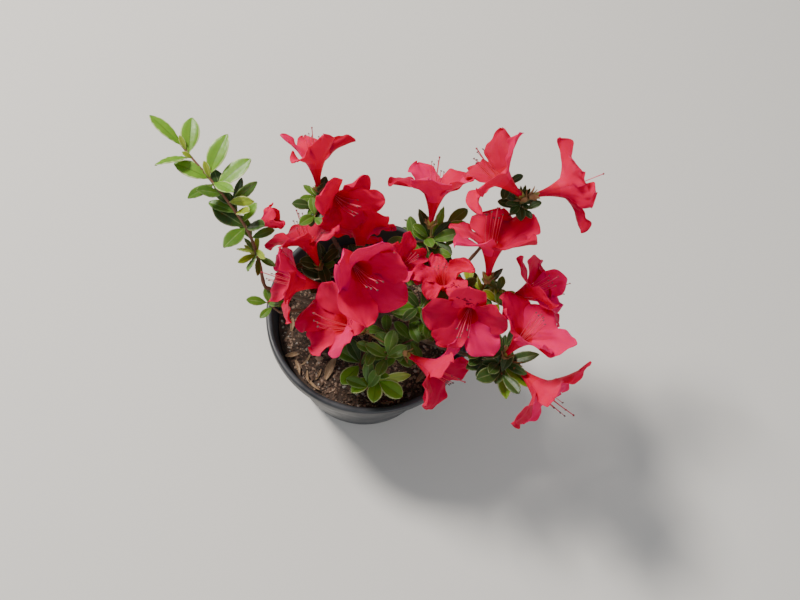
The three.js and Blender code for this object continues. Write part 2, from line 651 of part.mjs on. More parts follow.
function trunkLimb() {
  const curve = archedCurve(TRUNK_FOOT, TRUNK_FORK, 0);
  const radiusAt = (along) => THREE.MathUtils.lerp(TRUNK_FOOT_RADIUS, TRUNK_FORK_RADIUS, along)
    + ROOT_FLARE * Math.max(0, 1 - along / ROOT_FLARE_SHARE) ** 2;
  const trunk = limbRecord(curve, radiusAt, TRUNK_SIDES, TRUNK_STEPS);
  // The foot is cut flat where it meets the potting mix
  const slab = new THREE.BoxGeometry(60, 60, 40);
  slab.translate(0, 0, TRUNK_FOOT.z - 20);
  trunk.solid = trunk.solid.subtract(solidFrom(slab));
  return trunk;
}

// A bough starts on its parent's middle line and is cut back clear of every earlier limb
function boughLimb(plan, earlier) {
  const start = earlier[plan.from].curve.getPoint(plan.at);
  const curve = archedCurve(start, new THREE.Vector3(...plan.tip), plan.arch);
  const bough = limbRecord(curve, tapered(plan.radius), BOUGH_SIDES, BOUGH_STEPS);
  for (const limb of Object.values(earlier)) bough.solid = bough.solid.subtract(limb.grown);
  bough.solid = largestPiece(bough.solid);
  return bough;
}

function largestPiece(solid) {
  return solid.decompose().reduce((largest, piece) => (piece.volume() > largest.volume() ? piece : largest));
}

function meshOf(name, solid, look) {
  const { vertProperties, triVerts } = solid.getMesh();
  const geometry = new THREE.BufferGeometry();
  geometry.setAttribute('position', new THREE.BufferAttribute(vertProperties, 3));
  geometry.setIndex(new THREE.BufferAttribute(triVerts, 1));
  geometry.computeVertexNormals();
  const mesh = new THREE.Mesh(geometry, new THREE.MeshStandardMaterial({ metalness: 0, ...look }));
  mesh.name = name;
  return mesh;
}

const group = new THREE.Group();
const placed = [];

function add(name, solid, look) {
  placed.push(boxed(solid));
  group.add(meshOf(name, solid, look));
}

add('pot', potSolid(), COLOURS.pot);
add('potting_mix', mixSolid(), COLOURS.mix);

const limbs = { trunk: trunkLimb() };
add('trunk', limbs.trunk.solid, COLOURS.bark);
for (const [name, plan] of Object.entries(BOUGHS)) {
  limbs[name] = boughLimb(plan, limbs);
  add(`bough_${name}`, limbs[name].solid, COLOURS.bark);
}

const random = seededRandom(SEED);
const systems = {};
for (const [name, plan] of Object.entries(MASSES)) {
  const others = Object.values(systems).flatMap(({ wood, blossoms }) => [...wood, ...blossoms]);
  systems[name] = stemAndBlossoms(plan, limbs[plan.bough], [...placed, ...others.map(boxed)]);
}
for (const [name, system] of Object.entries(systems)) {
  const waiting = Object.keys(systems).slice(Object.keys(systems).indexOf(name) + 1);
  const others = waiting.flatMap((other) => [...systems[other].wood, ...systems[other].blossoms]);
  const look = system.plan.blossoms.length > 0 && name !== 'left_shoot' ? COLOURS.blossom : COLOURS.leaves;
  add(`foliage_${name}`, massSolid(system, [...placed, ...others.map(boxed)], random), look);
}

export default group;
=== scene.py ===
import math
from itertools import combinations

import bpy
import numpy as np
from mathutils import Matrix, Vector, noise
from mathutils.bvhtree import BVHTree


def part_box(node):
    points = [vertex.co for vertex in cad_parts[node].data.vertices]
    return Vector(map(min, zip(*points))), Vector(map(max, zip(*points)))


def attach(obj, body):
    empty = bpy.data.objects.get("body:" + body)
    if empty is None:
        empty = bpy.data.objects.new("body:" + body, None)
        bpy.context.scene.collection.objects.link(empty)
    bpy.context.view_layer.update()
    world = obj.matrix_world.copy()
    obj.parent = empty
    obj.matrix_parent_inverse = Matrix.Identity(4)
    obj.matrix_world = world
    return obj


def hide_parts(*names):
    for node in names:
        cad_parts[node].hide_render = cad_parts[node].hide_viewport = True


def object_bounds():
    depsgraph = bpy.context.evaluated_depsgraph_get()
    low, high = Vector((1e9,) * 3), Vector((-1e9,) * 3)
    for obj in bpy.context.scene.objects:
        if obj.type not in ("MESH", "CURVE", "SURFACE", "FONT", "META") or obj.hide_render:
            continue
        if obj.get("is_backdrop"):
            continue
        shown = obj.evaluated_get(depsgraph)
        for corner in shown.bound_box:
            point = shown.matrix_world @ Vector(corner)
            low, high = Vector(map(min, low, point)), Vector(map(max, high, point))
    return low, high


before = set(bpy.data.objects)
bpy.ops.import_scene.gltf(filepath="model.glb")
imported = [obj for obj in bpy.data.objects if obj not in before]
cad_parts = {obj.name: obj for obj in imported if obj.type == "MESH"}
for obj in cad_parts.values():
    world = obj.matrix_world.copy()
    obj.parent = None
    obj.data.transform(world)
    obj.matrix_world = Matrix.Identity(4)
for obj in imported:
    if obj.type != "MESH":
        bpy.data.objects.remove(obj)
cad_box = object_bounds()

# A potted azalea in bloom: a nursery pot of potting mix, a short trunk, thin boughs, and masses of
# twigs, leaves and funnel-shaped blossoms. Sizes are in millimetres until a piece is made.
MM = 0.001

# Pot and potting mix
RIM_ACROSS = 170
BASE_ACROSS = 125
POT_HEIGHT = 118
POT_WALL = 2
RIM_BAND_HEIGHT = 11
RIM_BAND_PROUD = 3
POT_FLOOR = 2.5
POT_SEGMENTS = 144
POT_SHARP_OVER = 40
UNDERSIDE_RECESS = 1.0
FOOT_RING_WIDTH = 7
FOOT_ROUNDING = 1.5
LIP_ROUNDING = 2.2
SOIL_BELOW_RIM = 20
SOIL_CROWN = 3
SOIL_TOP = POT_HEIGHT - SOIL_BELOW_RIM
CLEARANCE = 0.3
DRAIN_HOLES = 6
DRAIN_HOLE_RADIUS = 5
DRAIN_CIRCLE_RADIUS = 44

# Trunk and limbs
TRUNK_FOOT = (8, -4, SOIL_TOP + CLEARANCE)
TRUNK_FORK = (2, -1, SOIL_TOP + 36)
TRUNK_RADII = (6, 4)
ROOT_FLARE = 3.5
ROOT_FLARE_SHARE = 0.35
BARK_SHARP_OVER = 70
TRUNK_SIDES = 36
BOUGH_SIDES = 18
STEM_SIDES = 12
TWIG_SIDES = 8
TRUNK_ROWS = 64
BOUGH_ROW_SPACING = 1.2
LEAST_BOUGH_ROWS = 30
TRUNK_RELIEF = 0.13
BOUGH_RELIEF = 0.09
STEM_RELIEF = 0.06
# Old leaf joints: how many the trunk has, how many rows apart they are on a bough, how far they
# stand out as a share of the radius, and how much of the way to the next one each takes up
TRUNK_JOINTS = 7
ROWS_BETWEEN_JOINTS = 9
JOINT_SWELLING = 0.14
JOINT_WIDTH = 0.16
# The collar where a bough leaves its limb: how far it stands out, and its length
COLLAR_SWELLING = 0.55
COLLAR_LENGTH = 5

# Twigs and leaves
TWIG_RADIUS = 1.3
STALK_RADIUS = 0.9
FINE_TWIG_RADIUS = 0.6
STEM_TIP_RADIUS = 0.55 * TWIG_RADIUS
LEAF_THICKNESS = 0.45
LEAF_JOINT = 0.9
LEAF_WIDTH_SHARE = 0.44
LEAF_ROOT = 0.15
TURN_BETWEEN_LEAVES = 137.5
FIRST_GREEN_SHARE = 0.68
SEED = 20260

# Blossom, measured along and across its own axis, for one 60 mm across
USUAL_WIDTH = 60
TUBE_LENGTH = 24
TUBE_FOOT_RADIUS = 1.5
THROAT_RADIUS = 8
PETALS = 5
PETAL_THICKNESS = 0.5
PETAL_LENGTH = 32
THROAT_LEAN = 25
STYLE_LENGTH = 54
STAMEN_LENGTH = 44
STAMENS = 5
STAMEN_SPACING = 2.6
THREAD_SIDES = 5
STYLE_SIDES = 6
FILAMENT_RADIUS = 0.33
THREADS_SHOW_FROM = 60

# Boughs: the limb that each leaves and how far up it, the tip, the radius at both ends,
# and how much the bough sags (-) or arches (+) between them
BOUGHS = {
    "left": dict(limb="trunk", at=0.5, tip=(-80, -10, 150), radii=(2.4, 1.6), arch=-4),
    "left_low": dict(limb="left", at=0.5, tip=(-66, -22, 138), radii=(1.5, 1.1), arch=-2),
    "upper_left": dict(limb="trunk", at=0.97, tip=(-40, 27, 192), radii=(2.6, 1.5), arch=-4),
    "left_inner": dict(limb="upper_left", at=0.4, tip=(-33, 4, 158), radii=(1.6, 1.2), arch=-2),
    "centre": dict(limb="trunk", at=0.9, tip=(-4, -2, 160), radii=(2.2, 1.4), arch=0),
    "top": dict(limb="trunk", at=0.8, tip=(31, 35, 170), radii=(2.4, 1.5), arch=-5),
    "right": dict(limb="trunk", at=0.68, tip=(73, 7, 172), radii=(2.6, 1.5), arch=-5),
    "upper_right": dict(limb="right", at=0.55, tip=(86, 56, 212), radii=(1.7, 1.2), arch=-4),
    "mid_right": dict(limb="right", at=0.3, tip=(47, -10, 156), radii=(1.6, 1.2), arch=-2),
    "lower_right": dict(limb="trunk", at=0.45, tip=(94, -34, 154), radii=(2.3, 1.4), arch=-7),
    "front": dict(limb="trunk", at=0.55, tip=(22, -31, 136), radii=(1.9, 1.3), arch=-3),
    "front_low": dict(limb="trunk", at=0.25, tip=(1, -42, 114), radii=(1.7, 1.2), arch=2),
}


def petal(around, open_to, long=1.0, wide=1.0, roll=0.0):
    """One petal: degrees round the blossom from its top, the angle to which it opens, its length and
    width beside the usual, and how sharply its margins roll in: 1 over the radius in millimetres,
    below 0 where they roll back."""
    return dict(around=around, open_to=open_to, long=long, wide=wide, roll=roll)


def bloom(foot, turn, lift, across, *petals, open_to=90, crumple=1.0):
    """One blossom: the foot of its tube, the compass turn and lift of its axis in degrees (0 is +X,
    90 is +Y), its width, its petals as petal() takes them, and how crumpled it is. Without petals,
    five alike open to open_to."""
    return dict(foot=foot, turn=turn, lift=lift, across=across, petals=petals, open_to=open_to,
                crumple=crumple)


def mass(bough, route, shoots, leaf, greens, leaves=(), blossoms=()):
    """One mass: the bough that carries it and the route of its stem beyond the bough's tip. By rule
    it grows leaves along each shoot and in its end whorl, side twigs and finer twigs, as many as
    shoots says. leaf is the least and the most length of those leaves, and greens are their usual
    green and a second one. leaves are those that stand by themselves: each has its share of the way
    up the stem, its turn and lift in degrees, its length, the width that shows from above, and its
    green."""
    along, whorl, twigs, fine = shoots
    return dict(bough=bough, route=route, along=along, whorl=whorl, twigs=twigs, fine=fine, leaf=leaf,
                greens=greens, leaves=leaves, blossoms=blossoms)


MASSES = {
    "left_shoot": mass(
        "left", ((-90, 0, 182), (-99, 10, 204), (-120, 26, 220), (-139, 39, 229), (-155, 50, 236)),
        (0, 0, 0, 0), (20, 26), ("mid", "young"),
        leaves=(
            (1, 152, 20, 32, 10, "sunlit_bright"), (0.95, 100, 15, 28, 14, "sunlit_bright"),
            (0.93, 220, 20, 28, 8, "sunlit_bright"), (0.8, 76, 25, 34, 14, "sunlit_bright"),
            (0.73, 48, 20, 32, 14, "sunlit_bright"), (0.78, 172, 15, 28, 13, "sunlit_bright"),
            (0.76, 332, 30, 24, 9, "sunlit_bright"), (0.75, 240, 25, 26, 9, "mid"),
            (0.47, 164, 15, 28, 14, "deep"), (0.56, 336, 55, 22, 9, "young"),
            (0.47, 248, 20, 26, 12, "mid"), (0.47, 332, 35, 24, 11, "deep"),
            (0.58, 92, 10, 26, 7, "deep"), (0.61, 64, 15, 26, 6, "mid"),
            (0.63, 356, 35, 24, 5, "young"), (0.54, 132, 5, 24, 8, "mid"),
            (0.29, 228, 20, 17, 4, "young"), (0.27, 284, 10, 17, 4, "mid"),
            (0.29, 256, 25, 26, 5, "mid"), (0.25, 148, 15, 15, 4, "young"),
            (0.32, 304, 25, 17, 4, "young"), (0.4, 20, 30, 20, 8, "mid"),
            (0.38, 128, 10, 22, 9, "mid"), (0.5, 60, 35, 18, 8, "sunlit_bright"),
            (0.6, 140, 10, 20, 10, "deep"), (0.56, 170, 5, 22, 9, "mid"),
            (0.68, 200, 35, 24, 11, "mid"), (0.66, 100, 30, 22, 10, "deep"),
            (0.97, 130, 40, 12, 4, "young"), (0.92, 190, 30, 9, 4, "young"),
            (0.78, 110, 30, 14, 5, "young"), (0.3, 190, 20, 15, 4, "young"),
            (0.29, 100, 30, 14, 4, "young"), (0.27, 340, 10, 16, 5, "mid"),
            (0.29, 160, 20, 15, 4, "mid"),
        ),
        blossoms=(
            bloom((-95, 9, 209), 35, 20, 26, open_to=22),
        ),
    ),
    "left_low": mass(
        "left_low", ((-80, -20, 146),),
        (0, 0, 0, 0), (15, 19), ("mid", "mid"),
        leaves=(
            (1, 192, 20, 17, 8, "mid"), (0.98, 336, 50, 17, 6, "mid"), (0.9, 4, 25, 17, 5, "mid"),
            (0.8, 120, 20, 15, 7, "mid"), (0.7, 240, 10, 14, 6, "mid"),
        ),
    ),
    "upper_left": mass(
        "upper_left", ((-47, 34, 210), (-52, 41, 218)),
        (3, 3, 2, 2), (15, 20), ("deep", "mid"),
        leaves=(
            (1, 156, 20, 15, 5, "mid"), (1, 204, 15, 15, 7, "mid"), (0.86, 240, 20, 15, 5, "mid"),
            (1, 132, 20, 10, 3, "sunlit_bright"),
        ),
        blossoms=(
            bloom((-53, 44, 224), 111, 42, 51, (18, 33, 0.92, 0.95, 0.01),
                  (96, 98, 1.1, 0.95, 0.13), (186, 80, 1.05, 0.85, 0), (250, 48, 1, 0.5, 0.15),
                  (324, 118, 0.9, 0.8, 0.1)),
            bloom((-49, 50, 217), -40, 30, 54, (42, 93, 1, 1.15, 0.01), (84, 80, 1, 0.6, 0.05),
                  (192, 125, 0.9, 0.8, 0), (252, 42, 0.95, 0.8, 0.02), (330, 50, 1.1, 0.8, 0.06)),
        ),
    ),
    "left_inner": mass(
        "left_inner", ((-37, 2, 169),),
        (2, 6, 2, 2), (18, 22), ("deep", "mid"),
        blossoms=(
            bloom((-44, 5, 177), 135, 46, 56, (24, 108, 1.08, 1.05, 0), (100, 90, 1.02, 0.95, 0),
                  (165, 128, 0.88, 0.9, 0), (252, 100, 0.94, 0.95, 0.02), (330, 74, 1.06, 1.05, 0)),
            bloom((-35, -10, 176), 191, 20, 58, (12, 50, 1, 0.9, 0.03), (126, 104, 1.02, 0.85, 0),
                  (172, 100, 1, 0.9, 0.03), (276, 128, 1.08, 0.9, 0), (312, 84, 0.95, 0.85, 0)),
        ),
    ),
    "centre": mass(
        "centre", ((-6, 2, 182),),
        (3, 6, 2, 3), (18, 22), ("deep", "mid"),
        blossoms=(
            bloom((-22, 4, 204), 310, 38, 62, (36, 72, 0.95, 1.1, 0), (150, 50, 1.1, 1.1, 0),
                  (212, 78, 1.05, 1, 0), (276, 34, 0.95, 1, 0), (330, 58, 1, 1.15, 0.01)),
            bloom((-15, 13, 187), 96, 5, 52, (12, 108, 0.95, 1.1, 0), (126, 82, 0.95, 1, 0),
                  (156, 120, 1, 1, 0), (234, 118, 1.1, 1, 0), (336, 114, 1, 1.1, 0)),
            bloom((10, 10, 186), 15, 55, 38, (66, 106, 1, 0.9, 0.1), (120, 82, 0.95, 0.8, -0.1),
                  (204, 114, 0.95, 0.9, 0.12), (276, 70, 1, 0.9, 0), (348, 70, 1, 0.8, 0.1),
                  crumple=2.2),
        ),
    ),
    "front": mass(
        "front", ((25, -36, 145),),
        (2, 7, 2, 2), (18, 23), ("mid", "mid"),
        blossoms=(
            bloom((-1, -31, 158), 198, 42, 62, (48, 50, 0.95, 1.15, 0.02), (162, 98, 1, 0.95, 0),
                  (198, 126, 0.88, 0.95, 0.03), (306, 78, 0.86, 1, 0), (336, 114, 1, 0.9, 0)),
            bloom((36, -43, 156), -26, 20, 60, (0, 54, 0.92, 0.8, 0), (72, 78, 1.05, 0.85, 0),
                  (150, 122, 1.05, 0.9, 0), (225, 90, 0.95, 0.75, 0), (306, 118, 1.08, 0.75, 0.04)),
        ),
    ),
    "top": mass(
        "top", ((36, 42, 186),),
        (2, 2, 3, 3), (19, 24), ("mid", "mid"),
        leaves=(
            (1, 156, 15, 26, 7, "deep"), (0.9, 168, 15, 24, 6, "deep"),
            (0.73, 204, 15, 21, 7, "mid"), (1, 124, 20, 26, 8, "deep"),
            (1, 80, 25, 28, 6, "sunlit_bright"), (1, 64, 20, 21, 8, "deep"), (1, 12, 35, 32, 10, "mid"),
            (1, 328, 15, 21, 10, "deep"), (0.63, 284, 15, 21, 11, "deep"),
            (0.69, 332, 5, 24, 8, "deep"), (0.63, 168, 10, 28, 8, "mid"),
            (1, 36, 20, 30, 12, "sunlit_bright"),
        ),
        blossoms=(
            bloom((33, 49, 198), 97, 48, 60, (48, 72, 1.05, 0.85, 0.05), (132, 100, 1, 0.85, 0),
                  (204, 88, 0.9, 0.9, 0), (284, 122, 1.08, 0.78, 0.05), (348, 66, 1.04, 1.1, 0)),
        ),
    ),
    "upper_right": mass(
        "upper_right", ((95, 65, 228),),
        (2, 4, 1, 1), (12, 16), ("deep", "deep"),
        leaves=(
            (1, 104, 30, 13, 3, "deep"), (1, 88, 35, 14, 3, "deep"), (1, 68, 30, 13, 3, "deep"),
            (1, 208, 25, 14, 5, "deep"), (1, 240, 15, 14, 6, "deep"), (1, 336, 15, 9, 3, "deep"),
            (1, 300, 20, 9, 3, "deep"), (1, 20, 20, 12, 3, "deep"),
        ),
        blossoms=(
            bloom((94, 66, 235), 168, 35, 62, (30, 80, 1, 0.45, 0.2), (90, 87, 0.93, 0.8, 0.01),
                  (168, 112, 0.9, 0.72, 0.08), (272, 133, 1.1, 0.62, 0.08), (290, 66, 0.9, 0.8, 0)),
            bloom((102, 69, 235), 28, 2, 60, (12, 122, 0.86, 0.95, 0), (42, 98, 0.92, 0.75, 0),
                  (128, 114, 1.08, 0.8, 0.09), (190, 60, 0.9, 0.8, 0), (292, 122, 1.1, 0.72, 0.16)),
        ),
    ),
    "right": mass(
        "right", ((81, 8, 185),),
        (2, 2, 2, 2), (14, 20), ("young", "mid"),
        leaves=(
            (0.86, 164, 20, 16, 5, "mid"), (1, 116, 20, 12, 3, "young"),
            (0.92, 40, 15, 16, 6, "mid"), (1, 340, 10, 19, 7, "sunlit_bright"), (1, 8, 10, 20, 4, "young"),
            (1, 56, 25, 24, 6, "deep"), (0.81, 312, 15, 16, 7, "mid"), (1, 232, 25, 16, 5, "young"),
            (1, 272, 20, 16, 5, "young"), (1, 40, 20, 20, 4, "young"),
        ),
        blossoms=(
            bloom((82, 11, 204), 100, 50, 64, (60, 100, 0.85, 1.1, 0.02), (112, 79, 1, 1.15, 0),
                  (165, 74, 0.92, 1.1, 0), (252, 104, 0.85, 0.9, 0), (312, 110, 1.08, 0.85, 0.04)),
            bloom((101, 6, 186), 20, 40, 50, (66, 50, 1, 0.9, 0), (150, 84, 0.9, 0.9, 0),
                  (198, 42, 1, 0.9, 0), (246, 110, 0.95, 1, 0), (324, 124, 1.05, 0.95, 0)),
            bloom((108, 16, 165), 20, 17, 50, (42, 106, 1, 0.95, 0), (114, 98, 1, 0.95, 0),
                  (186, 82, 1, 0.9, 0), (258, 114, 1, 0.95, 0), (330, 120, 1, 0.95, 0)),
            bloom((75, -1, 190), 262, 30, 58, (12, 98, 1, 1, 0), (84, 82, 1, 1.05, 0.02),
                  (150, 118, 0.95, 0.9, 0), (234, 106, 1, 1.05, 0), (306, 90, 1, 1, 0)),
        ),
    ),
    "mid_right": mass(
        "mid_right", ((49, -12, 166),),
        (3, 7, 2, 2), (18, 24), ("deep", "mid"),
        blossoms=(
            bloom((54, 2, 180), 136, 72, 44, (-6, 114, 1, 0.9, 0), (54, 90, 0.95, 0.9, 0.1),
                  (162, 120, 0.85, 1, -0.1), (246, 83, 0.95, 0.9, 0), (300, 106, 1, 0.9, 0.1),
                  crumple=2.2),
        ),
    ),
    "lower_right": mass(
        "lower_right", ((108, -37, 165),),
        (2, 4, 2, 2), (19, 24), ("deep", "mid"),
        leaves=(
            (0.9, 288, -5, 28, 11, "sunlit_bright"), (0.95, 328, 5, 28, 11, "sunlit_bright"),
            (1, 260, 20, 21, 9, "deep"), (1, 200, 25, 19, 5, "deep"), (1, 20, 20, 28, 9, "deep"),
            (1, 356, 15, 24, 5, "deep"), (1, 96, 20, 21, 5, "deep"),
        ),
        blossoms=(
            bloom((107, -36, 180), 50, 60, 58, (42, 58, 1, 1.05, 0), (114, 66, 1.1, 1.1, 0),
                  (186, 98, 0.95, 1.05, 0), (258, 98, 1, 1.25, 0), (330, 66, 0.9, 0.9, 0)),
            bloom((117, -39, 168), -38, 10, 64, (18, 76, 1, 0.8, 0), (84, 124, 0.96, 1, 0.02),
                  (144, 130, 0.85, 0.8, 0), (220, 118, 0.92, 0.8, 0), (294, 100, 1.1, 0.75, 0.1)),
        ),
    ),
    "front_low": mass(
        "front_low", ((7, -52, 124), (18, -60, 130)),
        (0, 0, 1, 0), (17, 21), ("mid", "sunlit_bright"),
        leaves=(
            (0.05, 164, 15, 25, 12, "mid"), (0.05, 120, 20, 23, 11, "deep"),
            (0.1, 52, 20, 18, 8, "mid"), (0.1, 240, 5, 22, 13, "sunlit_bright"),
            (0.81, 232, 10, 22, 11, "sunlit_bright"), (0.97, 272, 15, 20, 12, "sunlit_bright"),
            (1, 336, 5, 23, 14, "sunlit_bright"), (1, 20, 10, 26, 7, "young"),
            (0.78, 356, 40, 17, 6, "sunlit_bright"), (0.95, 128, 20, 17, 9, "deep"),
            (0.9, 88, 20, 25, 10, "deep"),
        ),
    ),
}

UP = np.array((0.0, 0.0, 1.0))


# Numbers, directions and lines

def seeded_random(seed):
    """A repeatable stream of numbers from 0 to 1, the same one that the solids are grown with."""
    state = seed

    def multiply(a, b):
        return (a * b) & 0xFFFFFFFF

    def draw():
        nonlocal state
        state = (state + 0x6D2B79F5) & 0xFFFFFFFF
        mixed = multiply(state ^ (state >> 15), state | 1)
        mixed ^= (mixed + multiply(mixed ^ (mixed >> 7), mixed | 61)) & 0xFFFFFFFF
        return (mixed ^ (mixed >> 14)) / 2**32

    return draw


def between(low, high, share):
    """The value a share of the way from low to high."""
    return low + (high - low) * share


def unit(vector):
    """The vector's direction, 1 long."""
    return vector / np.linalg.norm(vector)


def heading(turn, lift):
    """The direction at a compass turn and a lift in degrees."""
    turn = math.radians(turn)
    lift = math.radians(lift)
    level = math.cos(lift)
    return np.array((level * math.cos(turn), level * math.sin(turn), math.sin(lift)))


def spline(points, shares):
    """Points on a centripetal spline through the given ones, at each share from 0 to 1."""
    points = np.asarray(points, float)
    spans = len(points) - 1
    padded = np.vstack([2 * points[0] - points[1], points, 2 * points[-1] - points[-2]])
    places = np.atleast_1d(shares) * spans
    span = np.minimum(places.astype(int), spans - 1)
    weight = (places - span)[:, None]
    p0, p1, p2, p3 = (padded[span + k] for k in range(4))
    pairs = ((p0, p1), (p1, p2), (p2, p3))
    d0, d1, d2 = (np.sqrt(np.linalg.norm(b - a, axis=1))[:, None] for a, b in pairs)
    start = ((p1 - p0) / d0 - (p2 - p0) / (d0 + d1) + (p2 - p1) / d1) * d1
    end = ((p2 - p1) / d1 - (p3 - p1) / (d1 + d2) + (p3 - p2) / d2) * d1
    square = -3 * p1 + 3 * p2 - 2 * start - end
    cube = 2 * p1 - 2 * p2 + start + end
    return p1 + start * weight + square * weight**2 + cube * weight**3


def arched(start, end, arch):
    """The three points of a limb that sags or arches between its ends."""
    start = np.asarray(start, float)
    end = np.asarray(end, float)
    return np.array((start, (start + end) / 2 + UP * arch, end))


def steps_to(count):
    """The shares from 0 to 1 in that many even steps."""
    return np.linspace(0, 1, count + 1)


def full_turn(count):
    """Evenly spaced angles round a circle."""
    return 2 * math.pi * np.arange(count) / count


def length_of(stations):
    """The length of a line through its stations."""
    return float(np.linalg.norm(np.diff(stations, axis=0), axis=1).sum())


def spot_along(stations, distance):
    """The point at a distance along a line."""
    left = distance
    for i in range(1, len(stations)):
        step = np.linalg.norm(stations[i] - stations[i - 1])
        if left <= step or i == len(stations) - 1:
            return between(stations[i - 1], stations[i], min(left / step, 1))
        left -= step
    return stations[0]


def nearest_spot(stations, place):
    """Of 20 points along a line, the one nearest to a place."""
    samples = 20
    spots = [spot_along(stations, length_of(stations) * (i + 0.4) / samples) for i in range(samples)]
    return min(spots, key=lambda spot: np.linalg.norm(spot - place))


# Gathering small closed meshes into one piece

class Pile:
    """Corners and faces of many small closed meshes, with the number of a look for each face."""

    def __init__(self):
        self.corners = []
        self.faces = {3: [], 4: []}
        self.looks = {3: [], 4: []}
        self.count = 0

    def add(self, corners, looks, *face_arrays):
        """Adds corners and arrays of faces, with one look for all or one for each face."""
        for faces in face_arrays:
            sides = faces.shape[1]
            self.faces[sides].append(faces + self.count)
            self.looks[sides].append(np.broadcast_to(looks, len(faces)))
        self.corners.append(corners)
        self.count += len(corners)


def face_list(pile):
    """Each face of a pile as a list of corner numbers."""
    return [face for sides in (4, 3) for faces in pile.faces[sides] for face in faces.tolist()]


def make_piece(name, pile, materials, nodes, sharp_over=50):
    """One mesh object of a pile, in metres, which rides with the plant and stands for the nodes."""
    mesh = bpy.data.meshes.new(name)
    corners = np.concatenate(pile.corners) * MM
    quads = np.concatenate(pile.faces[4]) if pile.faces[4] else np.zeros((0, 4), int)
    triangles = np.concatenate(pile.faces[3]) if pile.faces[3] else np.zeros((0, 3), int)
    indices = np.concatenate([quads.ravel(), triangles.ravel()]).astype(np.int32)
    starts = np.concatenate([
        np.arange(len(quads)) * 4, len(quads) * 4 + np.arange(len(triangles)) * 3,
    ]).astype(np.int32)
    looks = np.concatenate([*pile.looks[4], *pile.looks[3]]).astype(np.int32)
    mesh.vertices.add(len(corners))
    mesh.vertices.foreach_set("co", corners.astype(np.float32).ravel())
    mesh.loops.add(len(indices))
    mesh.polygons.add(len(starts))
    mesh.polygons.foreach_set("loop_start", starts)
    mesh.polygons.foreach_set("vertices", indices)
    mesh.polygons.foreach_set("material_index", looks)
    mesh.polygons.foreach_set("use_smooth", np.ones(len(starts), bool))
    for material in materials:
        mesh.materials.append(material)
    mesh.update(calc_edges=True)
    mesh.validate()
    mesh.set_sharp_from_angle(angle=math.radians(sharp_over))
    piece = bpy.data.objects.new(name, mesh)
    bpy.context.scene.collection.objects.link(piece)
    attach(piece, "root")
    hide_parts(*nodes)
    return piece


# Basic forms

def carried_frames(stations):
    """Two directions across a line at each station, turned no more than the line bends."""
    ahead = np.gradient(stations, axis=0)
    ahead /= np.linalg.norm(ahead, axis=1)[:, None]
    across = np.cross(ahead[0], UP if abs(ahead[0][2]) < 0.9 else (1.0, 0.0, 0.0))
    firsts = []
    seconds = []
    for direction in ahead:
        across = unit(across - direction * np.dot(across, direction))
        firsts.append(across)
        seconds.append(np.cross(direction, across))
    return np.array(firsts), np.array(seconds)


def ring_faces(rings, sides):
    """Quads between rings of corners, one ring after another, facing out."""
    ring, side = np.meshgrid(np.arange(rings - 1), np.arange(sides), indexing="ij")
    after = (side + 1) % sides
    return np.stack([
        ring * sides + side, ring * sides + after, (ring + 1) * sides + after, (ring + 1) * sides + side,
    ], axis=-1).reshape(-1, 4)


def add_closed_rings(pile, rings, ends, look):
    """A closed skin through rings of corners, with a fan of triangles round a point at each end."""
    count, sides = rings.shape[:2]
    last = count * sides
    side = np.arange(sides)
    after = (side + 1) % sides
    top = last - sides
    fans = np.concatenate([
        np.stack([np.full(sides, last), after, side], axis=1),
        np.stack([np.full(sides, last + 1), top + side, top + after], axis=1),
    ])
    pile.add(np.concatenate([rings.reshape(-1, 3), ends]), look, ring_faces(count, sides), fans)


def add_rod(pile, stations, radii, sides, look, rough=None):
    """A closed rod round a line. rough may return how much each corner stands out, as a share."""
    stations = np.asarray(stations, float)
    first, second = carried_frames(stations)
    angle = full_turn(sides)
    outward = np.cos(angle)[:, None] * first[:, None] + np.sin(angle)[:, None] * second[:, None]
    reach = np.broadcast_to(np.array(radii)[:, None], (len(stations), sides))
    if rough is not None:
        reach = reach * (1 + rough(stations, angle))
    add_closed_rings(pile, stations[:, None] + outward * reach[..., None], stations[[0, -1]], look)


def grid_normals(grid):
    """The direction in which the surface through a grid of points faces, at each point."""
    along = np.gradient(grid, axis=0)
    across = np.gradient(grid, axis=1)
    normals = np.cross(along, across)
    lengths = np.linalg.norm(normals, axis=2, keepdims=True)
    return normals / np.maximum(lengths, 1e-9)


def grid_faces(index, turned=False):
    """The four-sided faces of a grid of corner numbers, or the same faces turned over."""
    across, along = (index[:-1, 1:], index[1:, :-1]) if turned else (index[1:, :-1], index[:-1, 1:])
    return np.stack([index[:-1, :-1], across, index[1:, 1:], along], axis=-1)


def walked(start, ahead, steps):
    """The points passed from a start by a step in each direction ahead but the last."""
    return np.vstack([start, start + np.cumsum(ahead[:-1] * steps, axis=0)])


def strip_grid(middle, side, face, out, rise):
    """A surface along a middle line, whose points lie out to its side and rise towards its face."""
    return middle[:, None] + side[:, None] * out[..., None] + face[:, None] * rise[..., None]


def numbered(grid):
    """The corner numbers of a grid of points, in its own rows and columns."""
    rows, columns = grid.shape[:2]
    return np.arange(rows * columns).reshape(rows, columns)


